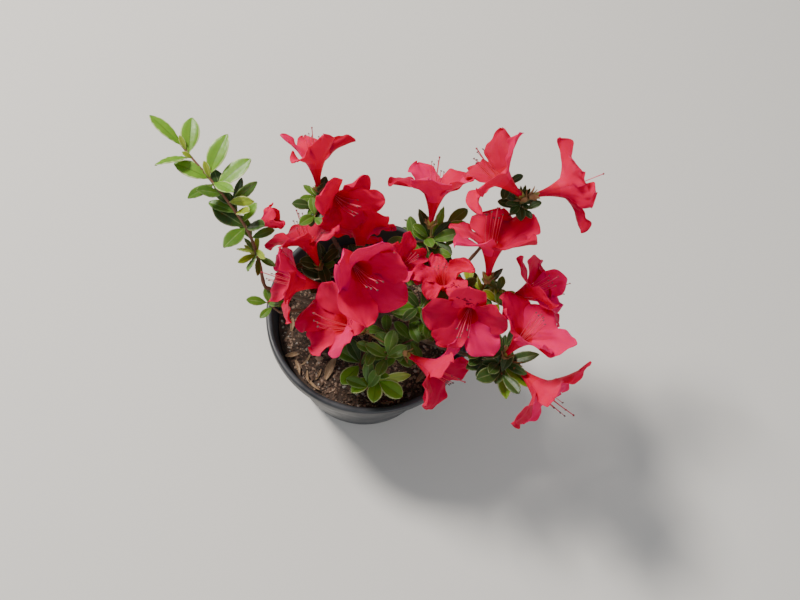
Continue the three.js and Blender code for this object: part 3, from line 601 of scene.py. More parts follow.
def add_sheet(pile, grid, thickness, top_looks, under_looks, rim_look):
    """A thin closed skin on both sides of a grid of points."""
    normals = grid_normals(grid)
    half = np.broadcast_to(thickness, grid.shape[:2])[..., None] / 2
    corners = np.concatenate([grid + normals * half, grid - normals * half]).reshape(-1, 3)
    upper = numbered(grid)
    under = upper + upper.size

    def edge(a, b):
        return np.stack([a[:-1], a[1:], b[1:], b[:-1]], axis=-1)

    rim = np.concatenate([
        edge(under[:, 0], upper[:, 0]), edge(upper[:, -1], under[:, -1]),
        edge(upper[0], under[0]), edge(under[-1], upper[-1]),
    ])
    top_faces = grid_faces(upper)
    looks = np.concatenate([
        np.broadcast_to(top_looks, top_faces.shape[:2]).ravel(),
        np.broadcast_to(under_looks, top_faces.shape[:2]).ravel(),
        np.full(len(rim), rim_look),
    ])
    under_faces = grid_faces(under, turned=True)
    pile.add(corners, looks, np.concatenate([top_faces.reshape(-1, 4), under_faces.reshape(-1, 4), rim]))


def icosahedron():
    """Its 12 corners, 1 from the middle, and its 20 triangles, facing out."""
    golden = (1 + 5**0.5) / 2
    corners = []
    for a in (-1, 1):
        for b in (-golden, golden):
            corners += [(0, a, b), (a, b, 0), (b, 0, a)]
    corners = np.array(corners) / math.hypot(1, golden)
    longest_side = 1.1
    faces = []
    for i, j, k in combinations(range(len(corners)), 3):
        sides = [np.linalg.norm(corners[p] - corners[q]) for p, q in ((i, j), (j, k), (i, k))]
        if max(sides) < longest_side:
            normal = np.cross(corners[j] - corners[i], corners[k] - corners[i])
            outward = np.dot(normal, corners[i] + corners[j] + corners[k]) > 0
            faces.append((i, j, k) if outward else (i, k, j))
    return corners, np.array(faces)


LUMP_CORNERS, LUMP_FACES = icosahedron()
# A full turn in radians, near enough for a turn that is dealt at random
ANY_TURN = 6.3


def add_lump(pile, centre, radii, turn, random, look, jitter=0.25):
    """A small closed lump: an icosahedron with its corners pushed in and out."""
    pushes = np.array([1 + jitter * (2 * random() - 1) for _ in LUMP_CORNERS])
    cosine, sine = math.cos(turn), math.sin(turn)
    spin = np.array(((cosine, sine, 0), (-sine, cosine, 0), (0, 0, 1)))
    pile.add((LUMP_CORNERS * pushes[:, None] * radii) @ spin + centre, look, LUMP_FACES)


# Finishes

def new_group(name, inputs, outputs):
    """A node group with its sockets, and its two ends inside: what it is given and what it makes."""
    group = bpy.data.node_groups.new(name, "ShaderNodeTree")
    for label, kind, value in inputs:
        socket = group.interface.new_socket(name=label, in_out="INPUT", socket_type=kind)
        socket.default_value = value
    for label, kind in outputs:
        group.interface.new_socket(name=label, in_out="OUTPUT", socket_type=kind)
    given = group.nodes.new("NodeGroupInput").outputs
    made = group.nodes.new("NodeGroupOutput").inputs
    return group, given, made


def set_inputs(tree, node, inputs):
    """Sets a node's inputs to values, or links them to the sockets given for them."""
    for name, value in inputs.items():
        if isinstance(value, bpy.types.NodeSocket):
            tree.links.new(value, node.inputs[name])
        else:
            node.inputs[name].default_value = value


def add_node(tree, kind, inputs=None, **settings):
    """A node of a kind, with its settings and its inputs."""
    node = tree.nodes.new(kind)
    for name, value in settings.items():
        setattr(node, name, value)
    set_inputs(tree, node, inputs or {})
    return node


def mottle_group():
    """Two colours in cloudy patches, with a mask of the patches."""
    group, given, made = new_group("mottle", (
        ("Main colour", "NodeSocketColor", (0.5, 0.5, 0.5, 1)),
        ("Patch colour", "NodeSocketColor", (0.3, 0.3, 0.3, 1)),
        ("Patches per metre", "NodeSocketFloat", 100),
        ("Amount", "NodeSocketFloat", 0.5),
    ), (("Colour", "NodeSocketColor"), ("Mask", "NodeSocketFloat")))
    place = add_node(group, "ShaderNodeTexCoord")
    cloud = add_node(group, "ShaderNodeTexNoise", {
        "Vector": place.outputs["Object"], "Scale": given["Patches per metre"], "Detail": 4,
        "Roughness": 0.6})
    contrast = add_node(group, "ShaderNodeMapRange", {
        "Value": cloud.outputs["Fac"], "From Min": 0.38, "From Max": 0.66})
    share = add_node(group, "ShaderNodeMath", {
        0: contrast.outputs["Result"], 1: given["Amount"]}, operation="MULTIPLY")
    mix = add_node(group, "ShaderNodeMix", {
        "Factor": share.outputs[0], "A": given["Main colour"], "B": given["Patch colour"]},
        data_type="RGBA")
    group.links.new(mix.outputs["Result"], made["Colour"])
    group.links.new(share.outputs[0], made["Mask"])
    return group


def grain_group():
    """Fine raised grain, as a height between 0 and 1."""
    group, given, made = new_group("fine grain", (
        ("Grains per metre", "NodeSocketFloat", 600), ("Stretch", "NodeSocketVector", (1, 1, 1)),
    ), (("Height", "NodeSocketFloat"),))
    place = add_node(group, "ShaderNodeTexCoord")
    stretched = add_node(group, "ShaderNodeMapping", {
        "Vector": place.outputs["Object"], "Scale": given["Stretch"]})
    grain = add_node(group, "ShaderNodeTexNoise", {
        "Vector": stretched.outputs["Vector"], "Scale": given["Grains per metre"], "Detail": 3})
    group.links.new(grain.outputs["Fac"], made["Height"])
    return group


MOTTLE = mottle_group()
GRAIN = grain_group()


def finish(name, colour, patch, patches=150, amount=0.6, roughness=(0.5, 0.6), grain=(900, 0.00008),
           under_skin=0.0, coat=0.0, specular=0.5, stretch=(1, 1, 1)):
    """A material: two colours in patches, roughness that follows them, and a fine raised grain.
    grain is the grains per metre and their depth, and under_skin is how much light the thin tissue
    lets through."""
    material = bpy.data.materials.new(name)
    material.use_nodes = True
    tree = material.node_tree
    mottle = add_node(tree, "ShaderNodeGroup", node_tree=MOTTLE)
    set_inputs(tree, mottle, {
        "Main colour": (*colour, 1), "Patch colour": (*patch, 1), "Patches per metre": patches,
        "Amount": amount})
    rough = add_node(tree, "ShaderNodeMapRange", {
        "Value": mottle.outputs["Mask"], "To Min": roughness[0], "To Max": roughness[1]})
    raised = add_node(tree, "ShaderNodeGroup", node_tree=GRAIN)
    set_inputs(tree, raised, {"Grains per metre": grain[0], "Stretch": stretch})
    bump = add_node(tree, "ShaderNodeBump", {
        "Height": raised.outputs["Height"], "Strength": 0.6, "Distance": grain[1]})
    set_inputs(tree, tree.nodes["Principled BSDF"], {
        "Base Color": mottle.outputs["Colour"], "Roughness": rough.outputs["Result"],
        "Normal": bump.outputs["Normal"], "Specular IOR Level": specular,
        "Coat Weight": coat, "Coat Roughness": 0.3, "Subsurface Weight": under_skin,
        "Subsurface Radius": (1.0, 0.35, 0.25), "Subsurface Scale": 0.0018})
    return material


def blended(colour, other, share):
    """A colour a share of the way towards another."""
    return tuple(between(a, b, share) for a, b in zip(colour, other))


def petal_finish(name, colour, patch):
    return finish(name, colour, patch, patches=70, amount=0.5, roughness=(0.55, 0.7),
                  grain=(1500, 0.00006), under_skin=0.8, specular=0.1)


def leaf_finish(name, colour, patch, roughness=(0.38, 0.52)):
    return finish(name, colour, patch, patches=160, amount=0.55, roughness=roughness,
                  grain=(1200, 0.0001), under_skin=0.12, coat=0.03, specular=0.34)


PETAL_TONES = {
    "coral": ((0.66, 0.001, 0.064), (0.52, 0.001, 0.048)),
    "crimson": ((0.49, 0.001, 0.044), (0.37, 0.001, 0.032)),
    "rose": ((0.76, 0.003, 0.112), (0.60, 0.002, 0.082)),
}
PETAL_TONE_SHARES = ("coral", "coral", "coral", "rose", "crimson")
WHITE = (1, 1, 1)
PETAL_BACK_PALE = 0.004
# Where each tone's two looks start: its inside, then its outside
PETAL_LOOKS = {}


def petal_materials():
    """Inside and outside of each tone, then the flushed tube and the dark flecks of the top petal."""
    materials = []
    for tone, (colour, patch) in PETAL_TONES.items():
        outside = blended(colour, WHITE, PETAL_BACK_PALE)
        PETAL_LOOKS[tone] = len(materials)
        materials.append(petal_finish(f"petal_{tone}", colour, patch))
        materials.append(petal_finish(f"petal_{tone}_back", outside, colour))
    materials.append(petal_finish("petal_tube", (0.62, 0.005, 0.040), (0.50, 0.003, 0.042)))
    materials.append(petal_finish("petal_fleck", (0.16, 0.001, 0.012), (0.20, 0.001, 0.016)))
    return materials


PETAL_MATERIALS = petal_materials()
TUBE_LOOK = len(PETAL_MATERIALS) - 2
FLECK_LOOK = len(PETAL_MATERIALS) - 1

# The greens are partly the leaves' own tones and partly painted light: the first green is painted as a
# leaf in sun, and the young green is new growth. Both of these are treated as sunlit below.
GREENS = {
    "sunlit_bright": ((0.155, 0.33, 0.022), (0.10, 0.24, 0.014)),
    "mid": ((0.082, 0.185, 0.017), (0.050, 0.125, 0.012)),
    "deep": ((0.032, 0.076, 0.012), (0.021, 0.050, 0.009)),
    "young": ((0.30, 0.38, 0.026), (0.20, 0.30, 0.016)),
}
# Where each green's looks start, and the order of its four looks
GREEN_LOOKS = {}
BLADE, MARGIN, MIDRIB, LEAF_BACK = range(4)
PALE_MARGIN = (0.72, 0.78, 0.40)
PALE_BACK = (0.42, 0.52, 0.30)
# How far the margin, the midrib and the underside of a leaf go towards those pale greens. The much
# paler margin of a sunlit leaf is painted sunlight on its edge, and its midrib is darker than the blade
# instead.
SUNLIT_MARGIN_PALE = 0.6
SHADED_MARGIN_PALE = 0.16
SHADED_MIDRIB_PALE = 0.13
SUNLIT_MIDRIB_SHADE = 0.62
LEAF_BACK_PALE = 0.28


def leaf_materials():
    """Blade, margin, midrib and underside for each green, with painted sunlight on the margins of the
    sunlit greens.
    """
    materials = []
    for green, (colour, patch) in GREENS.items():
        GREEN_LOOKS[green] = len(materials)
        sunlit = green in ("sunlit_bright", "young")
        # The paler margin of a sunlit leaf is painted sunlight
        margin = blended(colour, PALE_MARGIN, SUNLIT_MARGIN_PALE if sunlit else SHADED_MARGIN_PALE)
        midrib = blended(colour, PALE_MARGIN, SHADED_MIDRIB_PALE)
        if sunlit:
            midrib = tuple(SUNLIT_MIDRIB_SHADE * part for part in colour)
        back = blended(colour, PALE_BACK, LEAF_BACK_PALE)
        materials.append(leaf_finish(f"leaf_{green}", colour, patch))
        materials.append(leaf_finish(f"leaf_{green}_margin", margin, colour))
        materials.append(leaf_finish(f"leaf_{green}_midrib", midrib, patch))
        materials.append(leaf_finish(f"leaf_{green}_back", back, colour, roughness=(0.6, 0.75)))
    return materials


LEAF_MATERIALS = leaf_materials()

WOOD_MATERIALS = [
    finish("bark_grey_brown", (0.155, 0.098, 0.062), (0.26, 0.20, 0.15), patches=130, amount=0.8,
           roughness=(0.75, 0.9), grain=(700, 0.0005), stretch=(1, 1, 0.35)),
    finish("bark_young", (0.20, 0.085, 0.045), (0.12, 0.06, 0.03), patches=160, amount=0.7,
           roughness=(0.6, 0.75), grain=(900, 0.0002)),
    finish("twig_green", (0.23, 0.20, 0.06), (0.28, 0.12, 0.05), patches=140, amount=0.7,
           roughness=(0.55, 0.7), grain=(900, 0.0001)),
]
OLD_BARK, YOUNG_BARK, GREEN_TWIG = range(3)
OLD_BARK_FROM_RADIUS = 1.8

THREAD_MATERIALS = [
    finish("filament", (0.80, 0.10, 0.17), (0.66, 0.05, 0.10), under_skin=0.2),
    finish("anther", (0.10, 0.035, 0.05), (0.35, 0.22, 0.16), patches=900, roughness=(0.7, 0.85)),
    finish("style_tip", (0.30, 0.02, 0.04), (0.45, 0.05, 0.06), patches=900),
    finish("calyx", (0.30, 0.33, 0.07), (0.42, 0.22, 0.06), patches=300, amount=0.8),
    finish("bud_scale", (0.36, 0.20, 0.08), (0.22, 0.11, 0.045), patches=300, amount=0.8,
           roughness=(0.6, 0.8)),
]
FILAMENT, ANTHER, STYLE_TIP, CALYX, BUD_SCALE = range(5)
# How many lobes each ring under a blossom has, their length and half width, and their look
CALYX_RINGS = ((5, 5.5, 1.5, CALYX), (4, 6.5, 2.2, BUD_SCALE))


# Pot

def pot_profile():
    """Radius and height of the pot's section, from the middle of its underside round to its floor."""
    rim = RIM_ACROSS / 2
    base = BASE_ACROSS / 2
    band_foot = POT_HEIGHT - RIM_BAND_HEIGHT
    wall_top = rim - RIM_BAND_PROUD
    inner = wall_top - POT_WALL
    foot_ring = base - FOOT_RING_WIDTH
    slope = (wall_top - base) / band_foot
    wall_start = 1.6
    wall_end = band_foot - 2
    # The recess under the floor, the foot ring and the wall
    foot = (base - FOOT_ROUNDING, 0)
    profile = [(0, UNDERSIDE_RECESS), (foot_ring - FOOT_ROUNDING, UNDERSIDE_RECESS), (foot_ring, 0), foot]
    profile += round_corner(foot, (base, 0), (base + FOOT_ROUNDING * slope, wall_start), 5)
    for height in (between(wall_start, wall_end, step / 10) for step in range(1, 10)):
        profile.append((base + height * slope, height))
    # The step out under the rim band, and the band
    band_step = (wall_top - 0.3, band_foot - 0.8)
    profile += [(wall_top - 0.5, wall_end), band_step]
    profile += round_corner(band_step, (rim - 0.2, band_foot - 0.6), (rim, band_foot + 1.2), 6)
    profile += round_corner((rim, POT_HEIGHT - 2.6), (rim, POT_HEIGHT), (rim - 2.5, POT_HEIGHT), 8)
    # The lip, the inside of the wall and the floor
    lip_foot = POT_HEIGHT - LIP_ROUNDING
    profile += round_corner((inner + LIP_ROUNDING, POT_HEIGHT), (inner, POT_HEIGHT),
                            (inner - 0.1, lip_foot), 8)
    for share in (step / 8 for step in range(1, 9)):
        profile.append((between(inner, base - POT_WALL, share), between(lip_foot, POT_FLOOR + 1, share)))
    profile += [(base - POT_WALL - 1, POT_FLOOR), (0, POT_FLOOR)]
    return np.array(profile)


def round_corner(start, corner, end, steps):
    """Points of a smooth bend from start to end that heads for the corner."""
    start, corner, end = (np.asarray(point, float) for point in (start, corner, end))
    points = []
    for done in steps_to(steps):
        left = 1 - done
        points.append(tuple(left**2 * start + 2 * done * left * corner + done * done * end))
    return points


def add_turned(pile, profile, segments, look):
    """A closed body turned round the upright axis from a section that starts and ends on it."""
    radii, heights = profile[1:-1, :1], profile[1:-1, 1:]
    angle = full_turn(segments)
    rings = np.stack([radii * np.cos(angle), radii * np.sin(angle), heights + 0 * angle], axis=-1)
    add_closed_rings(pile, rings, [(0, 0, profile[0, 1]), (0, 0, profile[-1, 1])], look)


def pot_material():
    """Black moulded plastic, duller and greyer in patches."""
    return finish("moulded_plastic", (0.018, 0.020, 0.024), (0.050, 0.053, 0.060), patches=28,
                  amount=0.75, roughness=(0.34, 0.62), grain=(2600, 0.00005))


def make_pot():
    """The pot, turned as one body and then drilled."""
    pile = Pile()
    add_turned(pile, pot_profile(), POT_SEGMENTS, 0)
    piece = make_piece("nursery_pot", pile, [pot_material()], ["pot"],
                       sharp_over=POT_SHARP_OVER)
    drill_drain_holes(piece)


def drain_pins():
    """A round pin through the pot's floor at each drain hole, as an object to cut with."""
    pins = Pile()
    for angle in full_turn(DRAIN_HOLES):
        centre = DRAIN_CIRCLE_RADIUS * np.array((math.cos(angle), math.sin(angle), 0))
        low = centre - UP * 3
        high = centre + UP * (POT_FLOOR + 3)
        add_rod(pins, [low, (low + high) / 2, high], [DRAIN_HOLE_RADIUS] * 3, 28, 0)
    mesh = bpy.data.meshes.new("drain_pins")
    mesh.from_pydata(np.concatenate(pins.corners) * MM, [], face_list(pins))
    pin_object = bpy.data.objects.new("drain_pins", mesh)
    bpy.context.scene.collection.objects.link(pin_object)
    return pin_object


def drill_drain_holes(piece):
    """Cuts the round drain holes."""
    pins = drain_pins()
    cut = piece.modifiers.new("drain", "BOOLEAN")
    cut.object = pins
    cut.operation = "DIFFERENCE"
    cut.solver = "EXACT"
    evaluated = piece.evaluated_get(bpy.context.evaluated_depsgraph_get())
    drilled = bpy.data.meshes.new_from_object(evaluated)
    piece.modifiers.remove(cut)
    piece.data = drilled
    drilled.set_sharp_from_angle(angle=math.radians(POT_SHARP_OVER))
    bpy.data.objects.remove(pins)


# Potting mix

MIX_FALLS_FROM = 0.72
MIX_SETTLED = 0.4
# The rise and size of its hills, clods and crumbs, and the layer of noise that each comes from
MIX_BUMPS = ((1.6, 19, 3), (0.9, 5, 7), (0.5, 1.7, 11))


def mix_radius(height):
    """Radius of the mix at a height, against the pot's sloping wall."""
    wall_top = RIM_ACROSS / 2 - RIM_BAND_PROUD - POT_WALL
    wall_foot = BASE_ACROSS / 2 - POT_WALL
    share = (height - POT_FLOOR) / (POT_HEIGHT - POT_FLOOR)
    return between(wall_foot, wall_top, share) - 2 * CLEARANCE


def mix_height(x, y):
    """Height of the uneven surface of the mix."""
    reach = math.hypot(x, y) / mix_radius(SOIL_TOP)
    fall = SOIL_CROWN * max(0, (reach - MIX_FALLS_FROM) / (1 - MIX_FALLS_FROM))
    height = SOIL_TOP - fall - MIX_SETTLED
    for rise, size, layer in MIX_BUMPS:
        height += rise * noise.noise(Vector((x, y, layer)) / size)
    return height


MIX_MATERIALS = [
    finish("mix_dark", (0.042, 0.026, 0.018), (0.085, 0.052, 0.036), patches=420, amount=0.9,
           roughness=(0.8, 0.95), grain=(1500, 0.0006)),
    finish("mix_brown", (0.135, 0.078, 0.050), (0.075, 0.045, 0.030), patches=500, amount=0.8,
           roughness=(0.75, 0.92), grain=(1500, 0.0005)),
    finish("mix_tan", (0.32, 0.21, 0.145), (0.19, 0.12, 0.080), patches=500, amount=0.7,
           roughness=(0.7, 0.9), grain=(1500, 0.0004)),
    finish("mix_grit", (0.42, 0.38, 0.33), (0.30, 0.25, 0.20), patches=600, amount=0.7,
           roughness=(0.7, 0.9), grain=(1500, 0.0004)),
    finish("dry_leaf", (0.40, 0.27, 0.16), (0.24, 0.14, 0.07), patches=260, amount=0.85,
           roughness=(0.65, 0.85), grain=(1200, 0.0003)),
    finish("dry_leaf_back", (0.52, 0.39, 0.27), (0.34, 0.23, 0.14), patches=260, amount=0.85,
           roughness=(0.65, 0.85), grain=(1200, 0.0003)),
]
DARK_MIX, BROWN_MIX, TAN_MIX, GRIT, DRY_LEAF, DRY_LEAF_BACK = range(6)
MIX_RINGS = 60
MIX_SEGMENTS = 150
MIX_MIDDLE_RADIUS = 0.4
GRANULES = 8000
BARK_CHIPS = 90
# The look of each kind of granule, and the share of all that it and those before it make up
GRANULE_SHARES = ((DARK_MIX, 0.30), (BROWN_MIX, 0.72), (TAN_MIX, 0.96), (GRIT, 1.0))


def add_mix_body(pile):
    """The body of the mix: a flat bottom, sloping sides and a bumpy top."""
    low = POT_FLOOR + CLEARANCE
    angles = full_turn(MIX_SEGMENTS)
    rings = []
    for height in (low, between(low, SOIL_TOP, 0.5)):
        radius = mix_radius(height)
        rings.append([(radius * math.cos(a), radius * math.sin(a), height) for a in angles])
    edge = mix_radius(SOIL_TOP - SOIL_CROWN)
    for radius in [edge * (k / MIX_RINGS) for k in range(MIX_RINGS, 0, -1)] + [MIX_MIDDLE_RADIUS]:
        places = [(radius * math.cos(a), radius * math.sin(a)) for a in angles]
        rings.append([(x, y, mix_height(x, y)) for x, y in places])
    ends = [(0, 0, low), (0, 0, mix_height(0, 0))]
    add_closed_rings(pile, np.array(rings), ends, DARK_MIX)


def random_spot(random, reach):
    """A place within reach of the pot's axis, with places spread evenly over the mix."""
    radius = reach * math.sqrt(random())
    angle = 2 * math.pi * random()
    return radius * math.cos(angle), radius * math.sin(angle)


def add_granules(pile, reach, random):
    """Loose granules, most of them small, partly sunk in the surface of the mix."""
    for _ in range(GRANULES):
        x, y = random_spot(random, reach)
        size = 0.5 + 0.9 * random() ** 2
        dealt = random()
        look = next(look for look, share in GRANULE_SHARES if dealt <= share)
        radii = (size * (0.8 + random()), size, size * (0.5 + 0.4 * random()))
        place = (x, y, mix_height(x, y) + 0.25 * size)
        add_lump(pile, place, radii, ANY_TURN * random(), random, look)


def add_bark_chips(pile, reach, random):
    """Flat chips of bark, which lie over the granules."""
    for _ in range(BARK_CHIPS):
        x, y = random_spot(random, reach)
        size = 0.8 + 1.0 * random()
        look = BROWN_MIX if random() < 0.6 else TAN_MIX
        radii = (size * (1.6 + 1.2 * random()), size, 0.55)
        place = (x, y, mix_height(x, y) + 0.7)
        add_lump(pile, place, radii, ANY_TURN * random(), random, look, jitter=0.35)


def make_potting_mix():
    """The mix with its granules and bark chips."""
    random = seeded_random(SEED + 1)
    pile = Pile()
    add_mix_body(pile)
    reach = mix_radius(SOIL_TOP) - 3
    add_granules(pile, reach, random)
    add_bark_chips(pile, reach - 3, random)
    make_piece("potting_mix_surface", pile, MIX_MATERIALS, ["potting_mix"], sharp_over=35)


# Dry leaves and strips on the mix: place of the middle, turn in degrees, length, half width,
# the lift of the far end in degrees, and how far it bends sideways in degrees
DRY_LEAVES = (
    (-23, -47, 77, 21, 3.4, 22, -14), (-43, -44, 66, 13, 0.8, 12, 55), (-31, -54, 74, 10, 0.9, 25, 20),
    (-35, -63, -34, 17, 1.1, 6, 34), (-49, -51, -62, 13, 1.4, 8, -20), (-56, -42, 20, 12, 2.2, 6, 12),
    (-40, -57, -70, 9, 0.7, 10, 30), (52, -38, 60, 14, 2.6, 6, 10), (40, 50, 130, 15, 2.9, 8, -12),
    (-20, 58, 10, 13, 2.2, 10, 20), (-62, -16, 100, 12, 2.0, 8, 25), (28, -66, 20, 10, 0.9, 6, 40),
)
DRY_LEAF_TURN_IN = 62


def dry_leaf_grid(x, y, turn, length, half_width, lift, bend, random):
    """A dead leaf folded along its midrib, with its margins turned in."""
    shares = steps_to(16)
    heading_of = np.radians(turn + bend * (shares - 0.5))
    pitch = np.radians(lift * np.sin(math.pi * np.clip(shares * 1.1 - 0.1, 0, 1)))
    level = np.stack([np.cos(heading_of), np.sin(heading_of)], 1) * np.cos(pitch)[:, None]
    ahead = np.column_stack([level, np.sin(pitch)])
    middle = walked(np.zeros(3), ahead, length / (len(shares) - 1))
    middle += np.array((x, y, 0)) - (middle[len(middle) // 2] * (1, 1, 0))
    middle[:, 2] += mix_height(middle[0, 0], middle[0, 1]) + 1.0
    side = np.stack([-np.sin(heading_of), np.cos(heading_of), np.zeros(len(shares))], 1)
    face = np.cross(ahead, side)
    half = half_width * np.sin(math.pi * np.clip(shares * 0.95 + 0.04, 0, 1)) ** 0.75 + 0.12
    columns = np.linspace(-1, 1, 7)
    fold = math.radians(DRY_LEAF_TURN_IN * (0.6 + 0.6 * random()))
    out = np.sin(fold * np.abs(columns)) / fold * np.sign(columns)
    rise = (1 - np.cos(fold * columns)) / fold + 0.35 * np.abs(columns)
    wave = 0.12 * np.sin(9 * shares + 6 * random())[:, None] * columns
    return strip_grid(middle, side, face, half[:, None] * out, half[:, None] * (rise + wave))


def make_dry_leaves():
    """The dead leaves and strips that lie on the mix."""
    random = seeded_random(SEED + 2)
    pile = Pile()
    for dry_leaf in DRY_LEAVES:
        add_sheet(pile, dry_leaf_grid(*dry_leaf, random), 0.3, DRY_LEAF, DRY_LEAF_BACK, DRY_LEAF)
    make_piece("dry_leaves_on_mix", pile, MIX_MATERIALS, [])


# Trunk and boughs

class Limb:
    """The trunk or a bough: three points on its line, the radius at both ends, and its root flare."""

    def __init__(self, points, radii, flare=0.0):
        self.points = points
        self.radii = radii
        self.flare = flare
        self.tip = points[-1]
        self.direction = unit(spline(points, 1)[0] - spline(points, 0.9999)[0])

    def at(self, share):
        return spline(self.points, share)[0]

    def radius_at(self, shares):
        flare = self.flare * np.maximum(0, 1 - shares / ROOT_FLARE_SHARE) ** 2
        return between(self.radii[0], self.radii[1], shares) + flare


def grow_limbs():
    """The trunk and every bough by name, each bough from the limb that it leaves."""
    limbs = {"trunk": Limb(arched(TRUNK_FOOT, TRUNK_FORK, 0), TRUNK_RADII, ROOT_FLARE)}
    for name, plan in BOUGHS.items():
        start = limbs[plan["limb"]].at(plan["at"])
        limbs[name] = Limb(arched(start, plan["tip"], plan["arch"]), plan["radii"])
    return limbs


def bark_relief(depth, seed):
    """Ridges, furrows and rings of old bark, as a share of the limb's radius."""
    def rough(stations, angle):
        relief = np.zeros((len(stations), len(angle)))
        travelled = np.concatenate([[0], np.cumsum(np.linalg.norm(np.diff(stations, axis=0), axis=1))])
        for i, distance in enumerate(travelled):
            for j, turn in enumerate(angle):
                round_place = Vector((math.cos(turn), math.sin(turn), 0)) * 1.7
                furrow = abs(noise.noise(round_place * 2.2 + Vector((seed, 0, distance / 11))))
                knob = noise.noise(round_place * 0.9 + Vector((0, seed, distance / 4.5)))
                ring = 0.5 * math.sin(distance * 1.9 + 2 * knob)
                relief[i, j] = depth * (1.3 * knob - 1.8 * furrow + 0.25 * ring)
        return relief
    return rough


def leaf_scars(shares, joints, start):
    """Small swellings at so many old leaf joints along a limb, as shares of its radius."""
    place = shares * joints + start
    return JOINT_SWELLING * np.exp(-((place - np.round(place)) / JOINT_WIDTH) ** 2)


def bough_collar(distance):
    """The swelling where a bough leaves its limb, as a share of its radius."""
    return COLLAR_SWELLING * np.exp(-distance / COLLAR_LENGTH)


def add_limb(pile, limb, number, is_trunk):
    """A limb with swellings at its old leaf joints and relief in its bark."""
    length = length_of(spline(limb.points, steps_to(20)))
    count = TRUNK_ROWS if is_trunk else max(LEAST_BOUGH_ROWS, int(length / BOUGH_ROW_SPACING))
    shares = steps_to(count)
    joints = TRUNK_JOINTS if is_trunk else count / ROWS_BETWEEN_JOINTS
    radii = limb.radius_at(shares) * (1 + leaf_scars(shares, joints, 0.3 * number))
    stations = spline(limb.points, shares)
    if is_trunk:
        stations[:, 2] = np.maximum(stations[:, 2], TRUNK_FOOT[2])
        add_rod(pile, stations, radii, TRUNK_SIDES, OLD_BARK, bark_relief(TRUNK_RELIEF, number))
    else:
        radii = radii * (1 + bough_collar(shares * length_of(limb.points)))
        look = OLD_BARK if limb.radii[0] > OLD_BARK_FROM_RADIUS else YOUNG_BARK
        add_rod(pile, stations, radii, BOUGH_SIDES, look, bark_relief(BOUGH_RELIEF, number))


def make_wood(limbs):
    """The trunk and the boughs as one piece."""
    pile = Pile()
    for number, (name, limb) in enumerate(limbs.items()):
        add_limb(pile, limb, number, name == "trunk")
    nodes = ["trunk"] + [f"bough_{name}" for name in BOUGHS]
    make_piece("trunk_and_boughs", pile, WOOD_MATERIALS, nodes, sharp_over=BARK_SHARP_OVER)


# Leaves

LEAF_OUTLINE = ((0, 0.05), (0.06, 0.08), (0.13, 0.24), (0.28, 0.62), (0.46, 0.92), (0.62, 1.0),
                (0.78, 0.87), (0.90, 0.56), (0.97, 0.26), (1.0, 0.04))
POINTED_LEAF_OUTLINE = ((0, 0.05), (0.05, 0.09), (0.13, 0.32), (0.28, 0.72), (0.44, 0.96), (0.56, 1.0),
                        (0.70, 0.92), (0.83, 0.68), (0.93, 0.36), (1.0, 0.06))
POINTED_FROM = 26
LEAF_ROWS = 15
NARROWEST_BLADE = 0.32
LEAF_COLUMNS = np.array((-1, -0.86, -0.48, -0.08, 0.08, 0.48, 0.86, 1))
# How far the veins and the waved margins stand out, as shares of the leaf's length
LEAF_VEIN_RISE = 0.014
LEAF_WAVE_RISE = 0.012
LEAF_VEINS = 5.5


def outline_at(outline, shares):
    """Half width along a blade, smooth through the points of its outline."""
    points = np.array(outline)
    fine = spline(np.column_stack([points, np.zeros(len(points))]), steps_to(120))
    return np.interp(shares, fine[:, 0], fine[:, 1])


def leaf_grid(root, turn, lift, length, shape):
    """The middle surface of a leaf that droops towards its tip. shape gives its roll and droop in
    degrees, its fold and its width beside the usual."""
    shares = 1 - (1 - steps_to(LEAF_ROWS)) ** 1.15
    pitch = np.radians(lift + shape["droop"] * 0.3 - shape["droop"] * shares)
    level = heading(turn, 0)
    ahead = level * np.cos(pitch)[:, None] + UP * np.sin(pitch)[:, None]
    middle = walked(root + level * LEAF_ROOT, ahead, length * np.diff(shares)[:, None])
    level_side = np.cross(UP, level)
    face = np.cross(ahead, level_side)
    roll = math.radians(shape["roll"])
    side = level_side * math.cos(roll) + face * math.sin(roll)
    face = np.cross(ahead, side)
    half = outline_at(shape["outline"], shares) * length * LEAF_WIDTH_SHARE / 2 * shape["wide"]
    edge = np.abs(LEAF_COLUMNS)
    fold = shape["fold"] * edge - 0.5 * shape["fold"] * LEAF_COLUMNS**4
    veins = LEAF_VEIN_RISE * length * np.sin(2 * math.pi * (LEAF_VEINS * shares[:, None] - 1.1 * edge))
    veins *= (edge > 0.3) & (edge < 0.9)
    wave = LEAF_WAVE_RISE * length * np.sin(7 * shares[:, None] + shape["phase"]) * LEAF_COLUMNS**3
    rise = half[:, None] * fold + veins + wave
    return strip_grid(middle, side, face, half[:, None] * LEAF_COLUMNS, rise)


def leaf_shape(random):
    """The small differences of one leaf from the next."""
    return dict(roll=26 * (random() - 0.5), droop=14 + 26 * random(), fold=0.18 + 0.3 * random(),
                wide=0.95 + 0.25 * random(), phase=ANY_TURN * random(), outline=LEAF_OUTLINE)


def single_leaf_shape(length, shown_width, random):
    """The shape of a leaf by itself: a narrow one is a usual blade that stands on its edge, and a
    long one is pointed."""
    shape = leaf_shape(random)
    width = max(shown_width, length * NARROWEST_BLADE)
    side = 1 if random() < 0.5 else -1
    shape["roll"] = side * math.degrees(math.acos(shown_width / width)) + 0.4 * shape["roll"]
    shape["wide"] = width / (length * LEAF_WIDTH_SHARE)
    shape["droop"] *= 0.6
    if length >= POINTED_FROM:
        shape["outline"] = POINTED_LEAF_OUTLINE
    return shape


def add_leaf(pile, grid, green):
    """A leaf's skin, with its margins, midrib and underside each in a look of its own."""
    look = GREEN_LOOKS[green]
    strips = np.array((MARGIN, BLADE, BLADE, MIDRIB, BLADE, BLADE, MARGIN))
    add_sheet(pile, grid, LEAF_THICKNESS, look + strips, look + LEAF_BACK, look + MARGIN)


